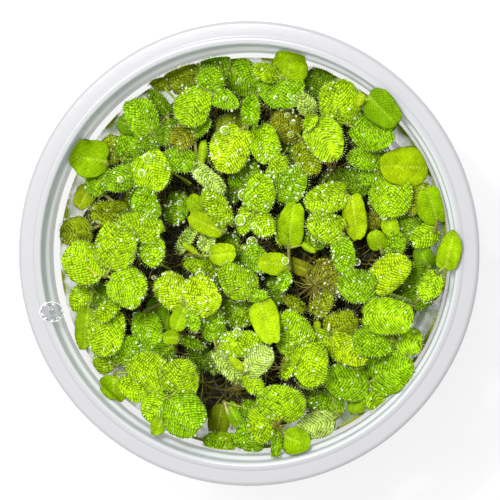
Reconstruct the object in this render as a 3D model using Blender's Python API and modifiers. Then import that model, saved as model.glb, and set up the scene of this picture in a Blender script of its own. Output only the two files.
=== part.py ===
"""Salvinia, a floating fern, in a clear plastic cup of water.

The cup stands on its foot ring and is filled almost to the brim. The mat on the water is many
small plants. Each plant is one closed body: leaves on one or more crowns, the rhizome between
the crowns and a brush of roots that hangs into the water.
"""
import math

import bmesh
import bpy
import numpy as np
from mathutils import Matrix, Vector

MM = 0.001
OBJECT_NAME = "salvinia"

# the cup, in mm: radius and height along its section
STEPS = 48
INSIDE = [
    (0, 1.3), (30.0, 1.3), (30.6, 0.8), (36.4, 0.8), (37.2, 1.6), (43.0, 40.0), (43.9, 45.8),
    (44.6, 46.4), (45.0, 49.3), (45.6, 50.0)]
FLANGE = [(49.4, 50.0), (50.0, 49.5), (50.0, 48.3), (49.5, 48.3), (49.3, 49.25), (46.2, 49.25)]
OUTSIDE = [(45.75, 48.9), (45.4, 45.9), (44.6, 45.2), (38.0, 1.0), (37.4, 0), (30.2, 0),
           (29.8, 0.5), (0, 0.5)]
WATER_TOP = 40.0
WATER_FLOOR = 1.6
GAP = 0.3  # what one piece keeps to the next

# the mat, in mm
CELL = 0.2  # cell of the height map the plants settle on
GRID_HALF = 52.0
SETTLE_GAP = 0.38
WALL_GAP = 0.45
WALL_RADIUS = 42.4  # a plant that reaches this far is cut clear of the wall
CROWN_REACH = 41.3
LEAF_THICK = 0.45
CROWN_RADIUS = 0.8
RHIZOME_RADIUS = 0.5
PITCH_LEAST, PITCH_SPREAD, PITCH_MOST = -0.12, 0.19, 0.36
SLOPES = {"fold": 0.75, "edge": 1.5, "bud": 0.0}
SLOPE_LEAST, SLOPE_SPREAD = -0.10, 0.22  # of the flatter leaves
RIM_LEAF_HEIGHT, RIM_LEAF_SLOPE = 50.75, 0.6  # the leaves that lean over the rim
RIM_LEAF_DROP = 0.8  # from the foot of such a leaf to its crown
ROOT_TOP, ROOT_END = 0.35, 1.2
ROOT_SPACING = 3.4
ROOT_REACH = 36.5  # no root hangs further out than this
ROOT_LEAST, ROOT_SPREAD = 13.0, 12.0  # depth below the water's surface
POCKET_GAP = 0.35
GOLDEN = 0.6180339887

# The plants, lowest first. Each is its crowns and its leaves, and a leaf is the place of its
# middle (x, y), its length and width in mm, the way its tip points in degrees, its form and tint.
PLANTS = (
    # lowest in the mat
    (((6.6, -8.8),), (
        (5.0, -7.1, 4.0, 3.0, 135, "hairy", "green"),
        (5.2, -10.0, 4.0, 3.0, -140, "hairy", "deep"),
        (9.6, -11.0, 5.0, 2.6, -35, "fold", "olive"))),
    (((-8.2, -26.3),), (
        (-11.3, -22.6, 6.2, 4.6, 125, "hairy", "deep"),
        (-8.0, -23.8, 4.6, 3.6, 80, "hairy", "deep"))),
    (((-18.3, -10.0), (-23.6, -12.8)), (
        (-20.2, -11.6, 6.4, 4.8, -135, "smooth", "green"),
        (-18.7, -15.0, 3.8, 2.8, -105, "smooth", "green"),
        (-22.7, -16.8, 8.4, 6.2, -74, "hairy", "green"))),
    (((-15.4, -18.4),), (
        (-17.2, -18.3, 3.5, 3.1, 180, "smooth", "lime"),
        (-12.6, -19.4, 5.4, 2.2, -18, "edge", "deep"),
        (-19.0, -21.8, 5.2, 4.2, -137, "hairy", "deep"))),
    (((-15.0, 13.0),), (
        (-16.4, 9.8, 6.8, 4.9, -109, "hairy", "green"),)),
    (((-6.0, -32.6),), (
        (-7.2, -36.6, 7.2, 4.4, -102, "smooth", "olive"),
        (-3.6, -35.3, 5.8, 3.2, -60, "smooth", "green"),
        (0.2, -34.2, 5.0, 3.8, -20, "hairy", "deep"))),
    (((-3.4, -41.4),), (
        (-6.8, -41.3, 6.6, 4.4, 176, "hairy", "fresh"),
        (0.2, -39.9, 6.8, 6.4, 62, "hairy", "green"))),
    (((19.2, -35.2),), (
        (16.3, -32.7, 7.6, 6.6, 142, "hairy", "green"),
        (14.4, -37.2, 7.8, 5.4, 196, "hairy", "pale"),
        (14.2, -28.9, 7.6, 1.8, 172, "edge", "pale"))),
    (((-35.4, 5.2), (-27.0, 8.8), (-34.9, 14.4)), (
        (-38.9, 4.6, 6.8, 6.0, 186, "hairy", "olive"),
        (-37.0, 12.3, 5.4, 4.2, -122, "smooth", "olive"),
        (-25.7, 12.2, 5.6, 4.0, 95, "hairy", "lime"),
        (-31.4, 8.6, 8.6, 5.2, 180, "fold", "olive"))),
    (((-35.0, -8.0),), (
        (-37.6, -10.0, 5.8, 5.4, -140, "hairy", "lime"),
        (-32.3, -9.9, 5.6, 5.4, -30, "hairy", "deep"),
        (-36.5, -16.4, 8.6, 4.2, -94, "smooth", "lime"))),
    (((-30.2, -24.6),), (
        (-32.4, -23.4, 5.6, 5.4, 128, "hairy", "lime"),
        (-27.0, -21.7, 7.0, 5.2, 58, "hairy", "green"))),
    (((-28.4, 20.2),), (
        (-30.5, 22.8, 6.0, 6.0, 120, "hairy", "olive"),
        (-26.6, 23.4, 7.0, 6.3, 60, "hairy", "green"))),
    (((-21.6, 26.0), (-18.0, 30.2)), (
        (-21.9, 23.6, 4.6, 4.2, -86, "hairy", "deep"),
        (-18.3, 26.6, 6.0, 5.0, -95, "hairy", "deep"),
        (-26.8, 28.0, 4.5, 4.0, 158, "smooth", "deep"),
        (-20.0, 32.7, 6.5, 3.4, 132, "fold", "deep"),
        (-23.4, 29.6, 8.0, 6.6, 117, "hairy", "green"))),
    (((-12.5, 27.3), (-11.3, 19.3)), (
        (-14.4, 25.4, 6.0, 5.0, -130, "hairy", "brown"),
        (-15.0, 20.3, 6.6, 5.0, 170, "hairy", "green"),
        (-10.6, 27.4, 5.0, 3.4, 40, "fold", "green"),
        (-10.3, 21.9, 5.2, 2.0, 82, "bud", "lime"),
        (-8.9, 16.3, 8.5, 3.6, -40, "fold", "pale"))),
    (((11.0, 25.0),), (
        (8.0, 21.2, 7.0, 4.8, -115, "hairy", "deep"),
        (7.7, 27.5, 6.8, 6.5, 150, "hairy", "brown"),
        (12.2, 20.8, 8.0, 5.6, -70, "hairy", "olive"))),
    (((29.3, 19.6), (25.5, 14.5)), (
        (20.6, 15.3, 10.0, 6.0, 172, "hairy", "deep"),
        (26.8, 17.0, 6.0, 4.6, -150, "hairy", "green"),
        (25.3, 20.4, 7.6, 4.6, 178, "hairy", "green"))),
    (((-2.8, 1.5),), (
        (-5.6, 3.2, 6.0, 3.2, 160, "hairy", "deep"),
        (-2.0, -0.8, 5.0, 4.0, -70, "hairy", "green"),
        (1.2, -1.2, 6.8, 5.0, -40, "hairy", "green"))),
    (((-0.2, -11.5),), (
        (-3.4, -13.1, 7.4, 6.4, 195, "hairy", "fresh"),)),
    # in the middle
    (((-6.4, -3.4),), (
        (-6.7, -5.2, 3.8, 2.8, -105, "hairy", "green"),
        (-10.9, -2.7, 8.0, 4.4, 167, "hairy", "lime"))),
    (((-18.1, 36.0),), (
        (-15.1, 39.0, 7.8, 7.4, 45, "hairy", "olive"),
        (-20.4, 37.4, 4.6, 3.2, 152, "hairy", "olive"))),
    (((-5.0, 40.2),), (
        (-8.0, 41.0, 6.6, 6.0, 162, "hairy", "green"),
        (-1.4, 37.8, 8.2, 7.0, -35, "hairy", "green"))),
    (((-9.5, 35.5),), (
        (-8.2, 37.4, 5.5, 6.0, 60, "hairy", "green"),
        (-5.0, 33.3, 6.4, 3.9, -20, "hairy", "green"),
        (-12.0, 32.0, 8.6, 7.2, -110, "hairy", "fresh"))),
    (((0.8, 27.6),), (
        (-3.8, 27.3, 8.0, 6.0, 190, "hairy", "olive"),
        (3.3, 24.0, 8.4, 6.0, -70, "hairy", "fresh"))),
    (((16.0, 33.4), (21.2, 27.9)), (
        (14.9, 36.9, 7.0, 6.0, 105, "hairy", "deep"),
        (26.6, 26.5, 9.8, 8.2, -8, "hairy", "green"),
        (19.8, 32.4, 9.2, 8.4, 98, "hairy", "lime"))),
    (((38.8, -2.9), (35.6, -11.3)), (
        (37.6, -0.9, 5.0, 4.0, 120, "smooth", "green"),
        (36.6, -7.2, 9.6, 8.2, -115, "hairy", "green"),
        (31.6, -10.0, 8.0, 2.2, 160, "edge", "pale"))),
    (((28.6, 0.2), (29.3, 9.0), (35.8, 9.0)), (
        (26.9, 7.2, 4.6, 3.6, -150, "hairy", "brown"),
        (34.2, 5.8, 6.2, 5.0, -105, "hairy", "deep"),
        (31.2, 2.0, 5.4, 4.6, 30, "hairy", "green"),
        (30.4, 5.9, 4.4, 3.6, -70, "smooth", "lime"),
        (27.5, 2.8, 4.2, 3.9, 110, "smooth", "lime"))),
    (((5.2, 12.5), (-3.0, 13.5)), (
        (-4.0, 12.6, 4.0, 3.0, -140, "hairy", "deep"),
        (8.9, 14.6, 8.0, 6.6, 38, "hairy", "green"),
        (6.2, 17.6, 7.2, 4.4, 70, "hairy", "lime"),
        (-1.5, 16.8, 7.4, 6.0, 70, "hairy", "green"))),
    (((13.3, -4.5), (14.5, -13.5)), (
        (10.3, -2.9, 7.5, 3.0, 155, "smooth", "brown"),
        (16.9, -5.3, 8.0, 6.4, -35, "hairy", "brown"),
        (15.8, -11.0, 6.4, 4.0, 50, "hairy", "olive"),
        (14.5, -15.9, 2.4, 1.5, -95, "bud", "yellow"))),
    (((25.7, -28.0),), (
        (23.4, -32.2, 5.6, 4.2, -118, "smooth", "fresh"),
        (27.8, -32.0, 5.4, 4.8, -62, "hairy", "fresh"),
        (30.6, -25.6, 9.6, 9.2, 22, "hairy", "green"),
        (21.2, -27.4, 9.2, 8.6, 176, "hairy", "green"))),
    (((17.2, -17.6),), (
        (15.0, -19.4, 5.4, 4.6, -139, "hairy", "lime"),
        (20.0, -15.8, 7.0, 6.4, 30, "hairy", "olive"),
        (21.2, -21.0, 9.0, 5.6, -30, "hairy", "yellow"))),
    (((-29.8, -26.3),), (
        (-22.4, -26.0, 9.6, 8.6, 0, "hairy", "lime"),
        (-30.3, -30.0, 6.6, 5.8, -92, "smooth", "fresh"),
        (-25.7, -29.7, 7.0, 3.6, -34, "fold", "lime"))),
    (((-28.8, -10.8),), (
        (-31.6, -17.2, 9.8, 7.6, -106, "hairy", "lime"),
        (-30.9, -12.5, 5.8, 3.4, -140, "fold", "lime"))),
    (((-7.3, -20.6),), (
        (-8.1, -15.6, 7.4, 5.2, 94, "hairy", "green"),
        (-4.5, -25.0, 9.4, 3.2, -47, "fold", "pale"),
        (-2.0, -19.5, 9.8, 5.2, 3, "hairy", "lime"))),
    (((-10.7, -0.6), (-15.5, 0.0)), (
        (-9.5, 2.4, 4.4, 3.4, 75, "fold", "pale"),
        (-13.9, 3.2, 7.0, 2.6, 55, "edge", "pale"),
        (-6.0, -0.2, 6.0, 4.4, 8, "smooth", "bright"),
        (-13.0, 1.0, 3.8, 1.4, 140, "bud", "yellow"))),
    # over those
    (((-31.6, 19.4),), (
        (-33.6, 15.9, 6.5, 5.0, -108, "hairy", "green"),
        (-35.3, 20.6, 7.6, 7.6, 172, "smooth", "fresh"))),
    (((-23.5, 20.0),), (
        (-27.4, 16.4, 7.2, 5.2, 205, "hairy", "green"),
        (-20.9, 17.8, 8.6, 7.8, -62, "hairy", "lime"))),
    (((-0.5, 27.7),), (
        (0.4, 31.0, 6.8, 3.8, 88, "fold", "green"),
        (-4.2, 22.8, 9.8, 8.4, -112, "hairy", "bright"))),
    (((7.2, 37.9),), (
        (6.8, 35.1, 7.0, 9.2, -95, "hairy", "green"),
        (3.7, 39.2, 5.4, 3.6, 160, "fold", "lime"),
        (8.8, 40.7, 6.8, 7.2, 75, "smooth", "lime"))),
    (((13.8, 29.6),), (
        (12.6, 32.2, 4.8, 3.8, 115, "fold", "pale"),
        (13.3, 28.4, 4.0, 2.4, -120, "fold", "lime"),
        (16.6, 24.5, 9.4, 7.6, -60, "hairy", "lime"))),
    (((-20.0, 4.2),), (
        (-22.0, 10.7, 7.0, 5.6, 102, "hairy", "green"),
        (-20.9, 0.2, 5.8, 5.2, -95, "hairy", "fresh"),
        (-23.2, 5.8, 9.2, 6.0, 160, "hairy", "lime"))),
    (((-16.9, -31.0),), (
        (-19.3, -37.1, 4.4, 3.4, -115, "smooth", "lime"),
        (-14.5, -26.6, 7.8, 7.8, 78, "hairy", "lime"),
        (-19.8, -33.2, 6.8, 6.2, -138, "hairy", "fresh"),
        (-13.8, -34.6, 9.4, 8.8, -46, "hairy", "green"))),
    (((-31.0, -4.8),), (
        (-35.7, -2.2, 9.4, 8.2, 138, "hairy", "lime"),
        (-26.2, -7.2, 8.6, 8.0, -27, "hairy", "fresh"),
        (-28.4, 1.2, 9.8, 8.4, 72, "hairy", "lime"))),
    (((6.1, -36.8),), (
        (6.1, -40.9, 7.0, 2.2, -92, "fold", "green"),
        (2.9, -37.0, 5.4, 7.6, 188, "hairy", "lime"),
        (10.3, -40.6, 6.2, 5.4, -25, "smooth", "fresh"),
        (7.3, -32.5, 7.6, 9.8, 88, "hairy", "fresh"))),
    (((20.8, 13.2),), (
        (22.7, 8.0, 9.6, 4.8, -82, "smooth", "yellow"),
        (16.9, 11.8, 8.8, 6.0, 198, "hairy", "lime"))),
    (((8.6, -3.2), (8.3, 1.2)), (
        (14.5, 3.1, 5.6, 4.2, 20, "hairy", "green"),
        (12.7, 1.2, 3.4, 1.5, -30, "bud", "lime"),
        (6.8, 4.8, 6.5, 2.6, 95, "fold", "lime"),
        (7.6, -6.0, 4.4, 2.8, -110, "fold", "green"),
        (9.0, 6.2, 9.4, 5.4, 80, "smooth", "lime"),
        (5.4, -2.2, 6.2, 4.5, 172, "smooth", "bright"))),
    (((20.4, 4.1),), (
        (20.5, -0.4, 7.6, 4.6, -80, "hairy", "green"),
        (16.8, 5.6, 7.8, 6.0, 165, "hairy", "lime"))),
    (((1.2, 8.9),), (
        (-1.2, 7.4, 6.4, 3.7, -110, "hairy", "lime"),
        (3.0, 6.2, 5.6, 4.8, -45, "hairy", "lime"),
        (2.3, 13.0, 8.6, 6.4, 75, "hairy", "fresh"))),
    (((10.9, -20.8),), (
        (9.3, -17.2, 9.0, 7.8, 118, "hairy", "fresh"),
        (8.9, -24.0, 6.0, 2.8, -112, "fold", "lime"),
        (13.4, -24.0, 9.0, 7.6, -75, "hairy", "lime"))),
    (((0.2, -9.4),), (
        (2.0, -9.1, 4.4, 2.6, 5, "hairy", "green"),
        (-2.5, -6.0, 8.4, 6.6, 140, "hairy", "fresh"),
        (3.9, -14.8, 9.4, 5.6, -70, "smooth", "bright"))),
    (((-0.9, -25.8),), (
        (-2.5, -23.8, 4.2, 1.8, 136, "bud", "yellow"),
        (0.9, -28.0, 5.0, 3.6, -48, "hairy", "lime"),
        (2.2, -23.2, 7.4, 5.2, 48, "hairy", "pale"))),
    (((-14.0, -11.2),), (
        (-11.9, -14.4, 4.8, 2.8, -78, "hairy", "green"),
        (-14.8, -13.9, 5.6, 3.6, -110, "smooth", "lime"),
        (-16.7, -8.2, 7.8, 6.8, 130, "hairy", "bright"),
        (-10.4, -9.3, 8.2, 8.4, 24, "hairy", "bright"))),
    (((25.8, -14.8), (31.6, -18.8)), (
        (27.2, -18.7, 8.4, 6.4, 182, "hairy", "green"),
        (34.6, -18.9, 5.6, 5.8, -6, "hairy", "fresh"),
        (30.2, -13.4, 10.6, 7.2, -3, "hairy", "fresh"))),
    # on top
    (((-5.6, 4.7),), (
        (-11.4, 10.3, 5.2, 3.7, 140, "smooth", "lime"),
        (-6.7, 9.8, 8.8, 4.6, 118, "hairy", "lime"),
        (-9.3, 6.3, 7.4, 4.1, 153, "smooth", "bright"))),
    (((26.8, -7.9),), (
        (23.8, -7.0, 7.6, 6.6, 172, "hairy", "green"),
        (30.4, -4.1, 9.4, 6.6, 42, "hairy", "bright"))),
    (((38.7, 18.2), (31.0, 16.4)), (
        (36.2, 12.2, 7.0, 3.6, -110, "hairy", "olive"),
        (30.6, 12.2, 8.2, 8.6, -92, "hairy", "fresh"),
        (33.6, 18.7, 9.6, 7.8, 178, "smooth", "yellow"))),
    (((25.2, 33.3),), (
        (24.4, 32.8, 3.2, 2.0, -125, "bud", "yellow"),
        (29.2, 30.8, 9.4, 7.0, -46, "rim", "green"))),
    (((39.9, 4.8), (40.6, 7.3)), (
        (37.8, 3.8, 6.2, 4.76, -153, "hairy", "fresh"),
        (39.6, 10.3, 7.8, 6.2, 106, "smooth", "fresh"))),
    (((41.8, -4.1),), (
        (39.5, -7.0, 6.4, 4.6, -118, "hairy", "fresh"),
        (43.7, 0.6, 9.0, 5.4, 75, "rim", "lime"))),
)

MATERIALS = {  # colour, roughness, transmission
    "clear_plastic": ((0.80, 0.82, 0.83), 0.12, 0.9),
    "water": ((0.72, 0.80, 0.72), 0.03, 0.95),
    "leaf_lime": ((0.38, 0.58, 0.01), 0.55, 0.0),
    "leaf_green": ((0.17, 0.37, 0.01), 0.6, 0.0),
    "leaf_olive": ((0.20, 0.29, 0.01), 0.6, 0.0),
}
LIME_TINTS = ("lime", "bright", "yellow", "pale", "fresh")
OLIVE_TINTS = ("olive", "brown")


def clear_scene():
    for obj in list(bpy.data.objects):
        bpy.data.objects.remove(obj, do_unlink=True)


def spread(number):
    """An even spread of shares from 0 to 1, one for each whole number."""
    return (number * GOLDEN) % 1.0


def inner_radius(height):
    """Radius of the cup's inside at a height above the water."""
    heights = [z for _, z in INSIDE[5:]]
    radii = [r for r, _ in INSIDE[5:]]
    return float(np.interp(height, heights, radii))


def within(place, most):
    """A place in plan, drawn in to a radius where it lies outside it."""
    pull = min(1.0, most / math.hypot(*place))
    return place[0] * pull, place[1] * pull


# how a leaf lies


def half_width(share):
    """Half the width at a share of the length, for a leaf whose widest half width is 1."""
    return np.clip(4 * share * (1 - share), 0, 1) ** 0.3


class Leaf:
    """A leaf as two planes that meet at the midrib. Its pitch is set when its plant settles."""

    def __init__(self, row, crowns, number):
        x, y, self.length, width, heading, self.form, self.tint = row
        self.half = width / 2
        turn = math.radians(heading)
        self.along = np.array((math.cos(turn), math.sin(turn)))
        self.side = np.array((-self.along[1], self.along[0]))
        self.base = np.array((x, y)) - self.along * self.length / 2
        gaps = [float(np.hypot(*(self.base - crown))) for crown in crowns]
        self.crown = int(np.argmin(gaps))
        self.stalk = gaps[self.crown]
        self.crown_place = np.array(crowns[self.crown])
        self.slope = SLOPES.get(self.form, SLOPE_LEAST + SLOPE_SPREAD * spread(7 * number + 3))
        self.pitch = PITCH_LEAST + PITCH_SPREAD * spread(number)
        self.thick = width * 0.5 if self.form == "bud" else LEAF_THICK
        self.crown_height = WATER_TOP

    def place(self, share, across):
        """Point of the leaf in plan, where across is -1 at one margin and 1 at the other."""
        return self.base + self.along * self.length * share + self.side * self.half * across

    def height(self, distance, aside):
        """Height of the leaf's middle surface, distance from the base and aside of the midrib."""
        if self.form == "rim":
            radius = np.hypot(
                *(self.base[i] + distance * self.along[i] + aside * self.side[i] for i in (0, 1)))
            return RIM_LEAF_HEIGHT + RIM_LEAF_SLOPE * np.minimum(radius - 45.0, 0.2)
        return self.crown_height + self.pitch * (self.stalk + distance) + self.slope * np.abs(aside)


# how the plants settle on each other


class Mat:
    """The height of the pile over each small square of the water."""

    def __init__(self):
        self.axis = np.arange(-GRID_HALF, GRID_HALF, CELL) + CELL / 2
        self.top = np.full((len(self.axis), len(self.axis)), WATER_TOP)

    def squares(self, low, high):
        """The x and y of the middles of the squares between two corners."""
        x = self.axis[(self.axis > low[0]) & (self.axis < high[0])]
        y = self.axis[(self.axis > low[1]) & (self.axis < high[1])]
        x, y = np.meshgrid(x, y)
        return x.ravel(), y.ravel()

    def index(self, x, y):
        """The rows and columns of the squares at these places."""
        return tuple(((value + GRID_HALF) / CELL).astype(int) for value in (y, x))

    def disc(self, place, radius):
        """The squares within a radius of a place."""
        x, y = self.squares(np.array(place) - radius, np.array(place) + radius)
        inside = np.hypot(x - place[0], y - place[1]) <= radius
        return self.index(x[inside], y[inside])

    def bar(self, start, end, radius):
        """The squares under a bar between two places, and the share of the way along it."""
        x, y = self.squares(np.minimum(start, end) - radius, np.maximum(start, end) + radius)
        line = np.array(end) - np.array(start)
        share = ((x - start[0]) * line[0] + (y - start[1]) * line[1]) / max(line @ line, 1e-6)
        share = np.clip(share, 0, 1)
        near = np.hypot(x - start[0] - share * line[0], y - start[1] - share * line[1]) <= radius
        return self.index(x[near], y[near]), share[near]

    def footprint(self, leaf):
        """The squares under a leaf, with its distance along and aside and half its thickness."""
        reach = leaf.length / 2 + leaf.half + 0.5
        middle = leaf.place(0.5, 0)
        x, y = self.squares(middle - reach, middle + reach)
        distance = (x - leaf.base[0]) * leaf.along[0] + (y - leaf.base[1]) * leaf.along[1]
        aside = (x - leaf.base[0]) * leaf.side[0] + (y - leaf.base[1]) * leaf.side[1]
        half = leaf.half * half_width(distance / leaf.length)
        inside = (np.abs(aside) <= half + 0.12) & (distance > -0.1) & (distance < leaf.length + 0.1)
        inside &= np.hypot(x, y) < (GRID_HALF if leaf.form == "rim" else WALL_RADIUS)
        x, y, distance, aside, half = (v[inside] for v in (x, y, distance, aside, half))
        thin = leaf.thick / 2 * np.clip(1 - np.abs(aside) / np.maximum(half, 0.1), 0, 1)
        return self.index(x, y), distance, aside, thin


def pitch_needed(mat, own, leaf):
    """The least pitch that lifts the leaf clear of the pile, and whether its foot is clear."""
    cells, distance, aside, thin = mat.footprint(leaf)
    run = leaf.stalk + distance
    far = run > 1.6
    below = np.where(far, np.maximum(mat.top[cells], own[cells]), mat.top[cells])
    short = below + SETTLE_GAP + thin - leaf.slope * np.abs(aside) - leaf.crown_height
    needed = float((short[far] / run[far]).max())
    return needed, far.all() or short[~far].max() <= max(leaf.pitch, needed)


def settle_plant(mat, crowns, leaves):
    """Lowers a plant on the pile and returns the heights of its crowns."""
    heights = []
    for crown in crowns:
        cells = mat.disc(crown, CROWN_RADIUS + 0.1)
        heights.append(float(mat.top[cells].max()) + CROWN_RADIUS + SETTLE_GAP)
    for first in range(len(crowns) - 1):
        cells, share = mat.bar(crowns[first], crowns[first + 1], RHIZOME_RADIUS + 0.1)
        line = heights[first] + share * (heights[first + 1] - heights[first])
        short = (mat.top[cells] + RHIZOME_RADIUS + SETTLE_GAP - line).max()
        heights[first] += max(0.0, short)
        heights[first + 1] += max(0.0, short)
    own = np.full(mat.top.shape, WATER_TOP)
    for leaf in leaves:
        if leaf.form == "rim":
            lowest = float(leaf.height(0.0, 0.0)) - RIM_LEAF_DROP
            heights[leaf.crown] = max(heights[leaf.crown], lowest)
    for leaf in leaves:
        leaf.crown_height = heights[leaf.crown]
        if leaf.form != "rim":
            lift_leaf(mat, own, leaf, heights)
        cover(mat, own, leaf)
    return heights


def lift_leaf(mat, own, leaf, heights):
    """Tilts the leaf up until it clears the pile, and lifts its crown where that isn't enough."""
    for _ in range(80):
        needed, foot_clear = pitch_needed(mat, own, leaf)
        if needed <= PITCH_MOST and foot_clear:
            break
        leaf.crown_height += 0.15
    leaf.pitch = max(leaf.pitch, needed)
    heights[leaf.crown] = max(heights[leaf.crown], leaf.crown_height)


def cover(mat, own, leaf):
    """Raises the pile to the top of a leaf."""
    cells, distance, aside, thin = mat.footprint(leaf)
    np.maximum.at(own, cells, leaf.height(distance, aside) + thin)


def root_place(mat, crowns, leaves, roots):
    """A place under the plant with open water below it and room beside the roots already there."""
    places = [(crown, None) for crown in crowns]
    for share in (0.12, 0.25, 0.4, 0.55, 0.7, 0.85):
        places += [(tuple(leaf.place(share, 0)), leaf) for leaf in leaves if leaf.form == "hairy"]
    for place, leaf in places:
        if np.hypot(*place) > ROOT_REACH:
            continue
        if mat.top[mat.disc(place, ROOT_TOP + 0.75)].max() > WATER_TOP + 0.01:
            continue
        if all(np.hypot(place[0] - x, place[1] - y) >= ROOT_SPACING for x, y in roots):
            return place, leaf
    return None, None


def settle():
    """Settles every plant, lowest first, and returns a list of (crowns, leaves, root)."""
    mat, roots, plants, number = Mat(), [], [], 0
    for crowns, rows in PLANTS:
        crowns = [within(crown, CROWN_REACH) for crown in crowns]
        leaves = [Leaf(row, crowns, number + i) for i, row in enumerate(rows)]
        number += len(rows)
        heights = settle_plant(mat, crowns, leaves)
        own = np.full(mat.top.shape, WATER_TOP)
        for leaf in leaves:  # a crown lifted for a later leaf lifts the earlier ones too
            leaf.crown_height = heights[leaf.crown]
            cover(mat, own, leaf)
        root = None
        place, holder = root_place(mat, crowns, leaves, roots)
        if place is not None:
            roots.append(place)
            top = heights[crowns.index(place)] if holder is None else float(
                holder.height(np.dot(np.array(place) - holder.base, holder.along), 0.0))
            end = WATER_TOP - ROOT_LEAST - ROOT_SPREAD * spread(len(roots))
            root = (place, top, end)
        cover_crowns(mat, own, crowns, heights)
        mat.top = np.maximum(mat.top, own)
        plants.append((list(zip(crowns, heights)), leaves, root))
    return plants


def cover_crowns(mat, own, crowns, heights):
    """Raises the pile to the top of a plant's crowns and rhizome."""
    for crown, height in zip(crowns, heights):
        np.maximum.at(own, mat.disc(crown, CROWN_RADIUS + 0.1), height + CROWN_RADIUS)
    for first in range(len(crowns) - 1):
        cells, share = mat.bar(crowns[first], crowns[first + 1], RHIZOME_RADIUS + 0.1)
        line = heights[first] + share * (heights[first + 1] - heights[first])
        np.maximum.at(own, cells, line + RHIZOME_RADIUS)


# the solids


def add_ball(form, place, height, radius):
    bmesh.ops.create_uvsphere(
        form, u_segments=5, v_segments=3, radius=radius,
        matrix=Matrix.Translation((place[0], place[1], height)))


def add_bar(form, start, end, start_radius, end_radius, sides):
    """A tapered bar with flat ends between two points."""
    start, end = Vector(start), Vector(end)
    line = end - start
    turn = line.to_track_quat("Z", "Y").to_matrix().to_4x4()
    bmesh.ops.create_cone(
        form, cap_ends=True, segments=sides, radius1=start_radius, radius2=end_radius,
        depth=line.length, matrix=Matrix.Translation((start + end) / 2) @ turn)


def add_leaf(form, leaf):
    """A thin lens: a ball drawn out from the crown to the tip and laid on the leaf's two planes."""
    rings = 5 if leaf.length >= 6.5 else 4
    ball = bmesh.ops.create_uvsphere(form, u_segments=4, v_segments=rings, radius=1.0)
    for vert in ball["verts"]:
        across, up, back = vert.co
        share = (1 - back) / 2
        if share < 0.01:  # the pole at the base goes into the crown
            place = leaf.crown_place - leaf.along * 0.4
            vert.co = (place[0], place[1], leaf.crown_height)
            continue
        half = float(half_width(share))
        girth = max(math.hypot(across, up), 1e-6)
        aside = leaf.half * half * across / girth
        lift = leaf.thick / 2 * half * up / girth
        x, y = leaf.place(share, -aside / leaf.half)
        vert.co = (x, y, float(leaf.height(leaf.length * share, -aside)) + lift)


def mesh_of(form, name):
    """The mesh of a bmesh in mm, in metres and with its faces pointing out."""
    bmesh.ops.recalc_face_normals(form, faces=form.faces)
    bmesh.ops.scale(form, vec=(MM, MM, MM), verts=form.verts)
    mesh = bpy.data.meshes.new(name)
    form.to_mesh(mesh)
    form.free()
    return mesh


def add_object(name, mesh, collection, material=None):
    obj = bpy.data.objects.new(name, mesh)
    collection.objects.link(obj)
    if material:
        mesh.materials.append(material)
    else:
        obj.hide_render = True
        obj.display_type = "WIRE"
    return obj


def add_boolean(obj, other, operation):
    cut = obj.modifiers.new(operation.title(), "BOOLEAN")
    cut.operation = operation
    cut.solver = "EXACT"
    cut.use_self = operation == "UNION"
    cut.object = other


def add_brim(collection):
    """The room the plants have: the inside of the cup less a gap, and all the air above it."""
    sides = [(r - WALL_GAP, z) for r, z in reversed(INSIDE[4:9])]
    profile = [(0, 60), (60, 60), (60, 50.25), (45.3, 50.25)] + sides + [(0, INSIDE[4][1])]
    return add_turned("brim", profile, collection, None)


def add_plant(number, plant, parts, cutters, materials, brim):
    """One plant: crowns, rhizome and leaves, joined with its root into one closed body."""
    crowns, leaves, root = plant
    form = bmesh.new()
    for leaf in leaves:
        add_leaf(form, leaf)
    for (place, height), (after, after_height) in zip(crowns, crowns[1:]):
        add_bar(form, (*place, height), (*after, after_height), RHIZOME_RADIUS, RHIZOME_RADIUS, 5)
    for place, height in crowns[1:] if root is None else crowns:
        add_ball(form, place, height, CROWN_RADIUS)
    name = f"plant_{number:02d}"
    obj = add_object(name, mesh_of(form, name), parts, materials[slot_of(leaves)])
    joined = bmesh.new()
    if root:
        place, top, end = root
        add_bar(joined, (*place, top + 0.1), (*place, end), ROOT_TOP, ROOT_END, 5)
    else:
        add_ball(joined, *crowns[0], CROWN_RADIUS)
    add_boolean(obj, add_object(name + "_joined", mesh_of(joined, name + "_joined"), cutters), "UNION")
    reach = max(math.hypot(*vert.co.xy) for vert in obj.data.vertices)
    if reach > WALL_RADIUS * MM and all(leaf.form != "rim" for leaf in leaves):
        add_boolean(obj, brim, "INTERSECT")
    weld = obj.modifiers.new("Weld", "WELD")
    weld.merge_threshold = 0.0000015


def slot_of(leaves):
    """The material of the leaf colour that covers most of the plant."""
    areas = {"leaf_lime": 0.0, "leaf_olive": 0.0, "leaf_green": 0.0}
    for leaf in leaves:
        slot = "leaf_lime" if leaf.tint in LIME_TINTS else (
            "leaf_olive" if leaf.tint in OLIVE_TINTS else "leaf_green")
        areas[slot] += leaf.length * leaf.half
    return max(areas, key=areas.get)


def add_turned(name, profile, collection, material):
    """A body turned round +Z from its section, given from the inside over the top and down."""
    mesh = bpy.data.meshes.new(name)
    points = [(r * MM, 0, z * MM) for r, z in profile]
    mesh.from_pydata(points, [(i, i + 1) for i in range(len(points) - 1)], [])
    obj = add_object(name, mesh, collection, material)
    turned = obj.modifiers.new("Screw", "SCREW")
    turned.steps = turned.render_steps = STEPS
    turned.use_merge_vertices = True
    turned.merge_threshold = 0.00001
    return obj


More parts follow.
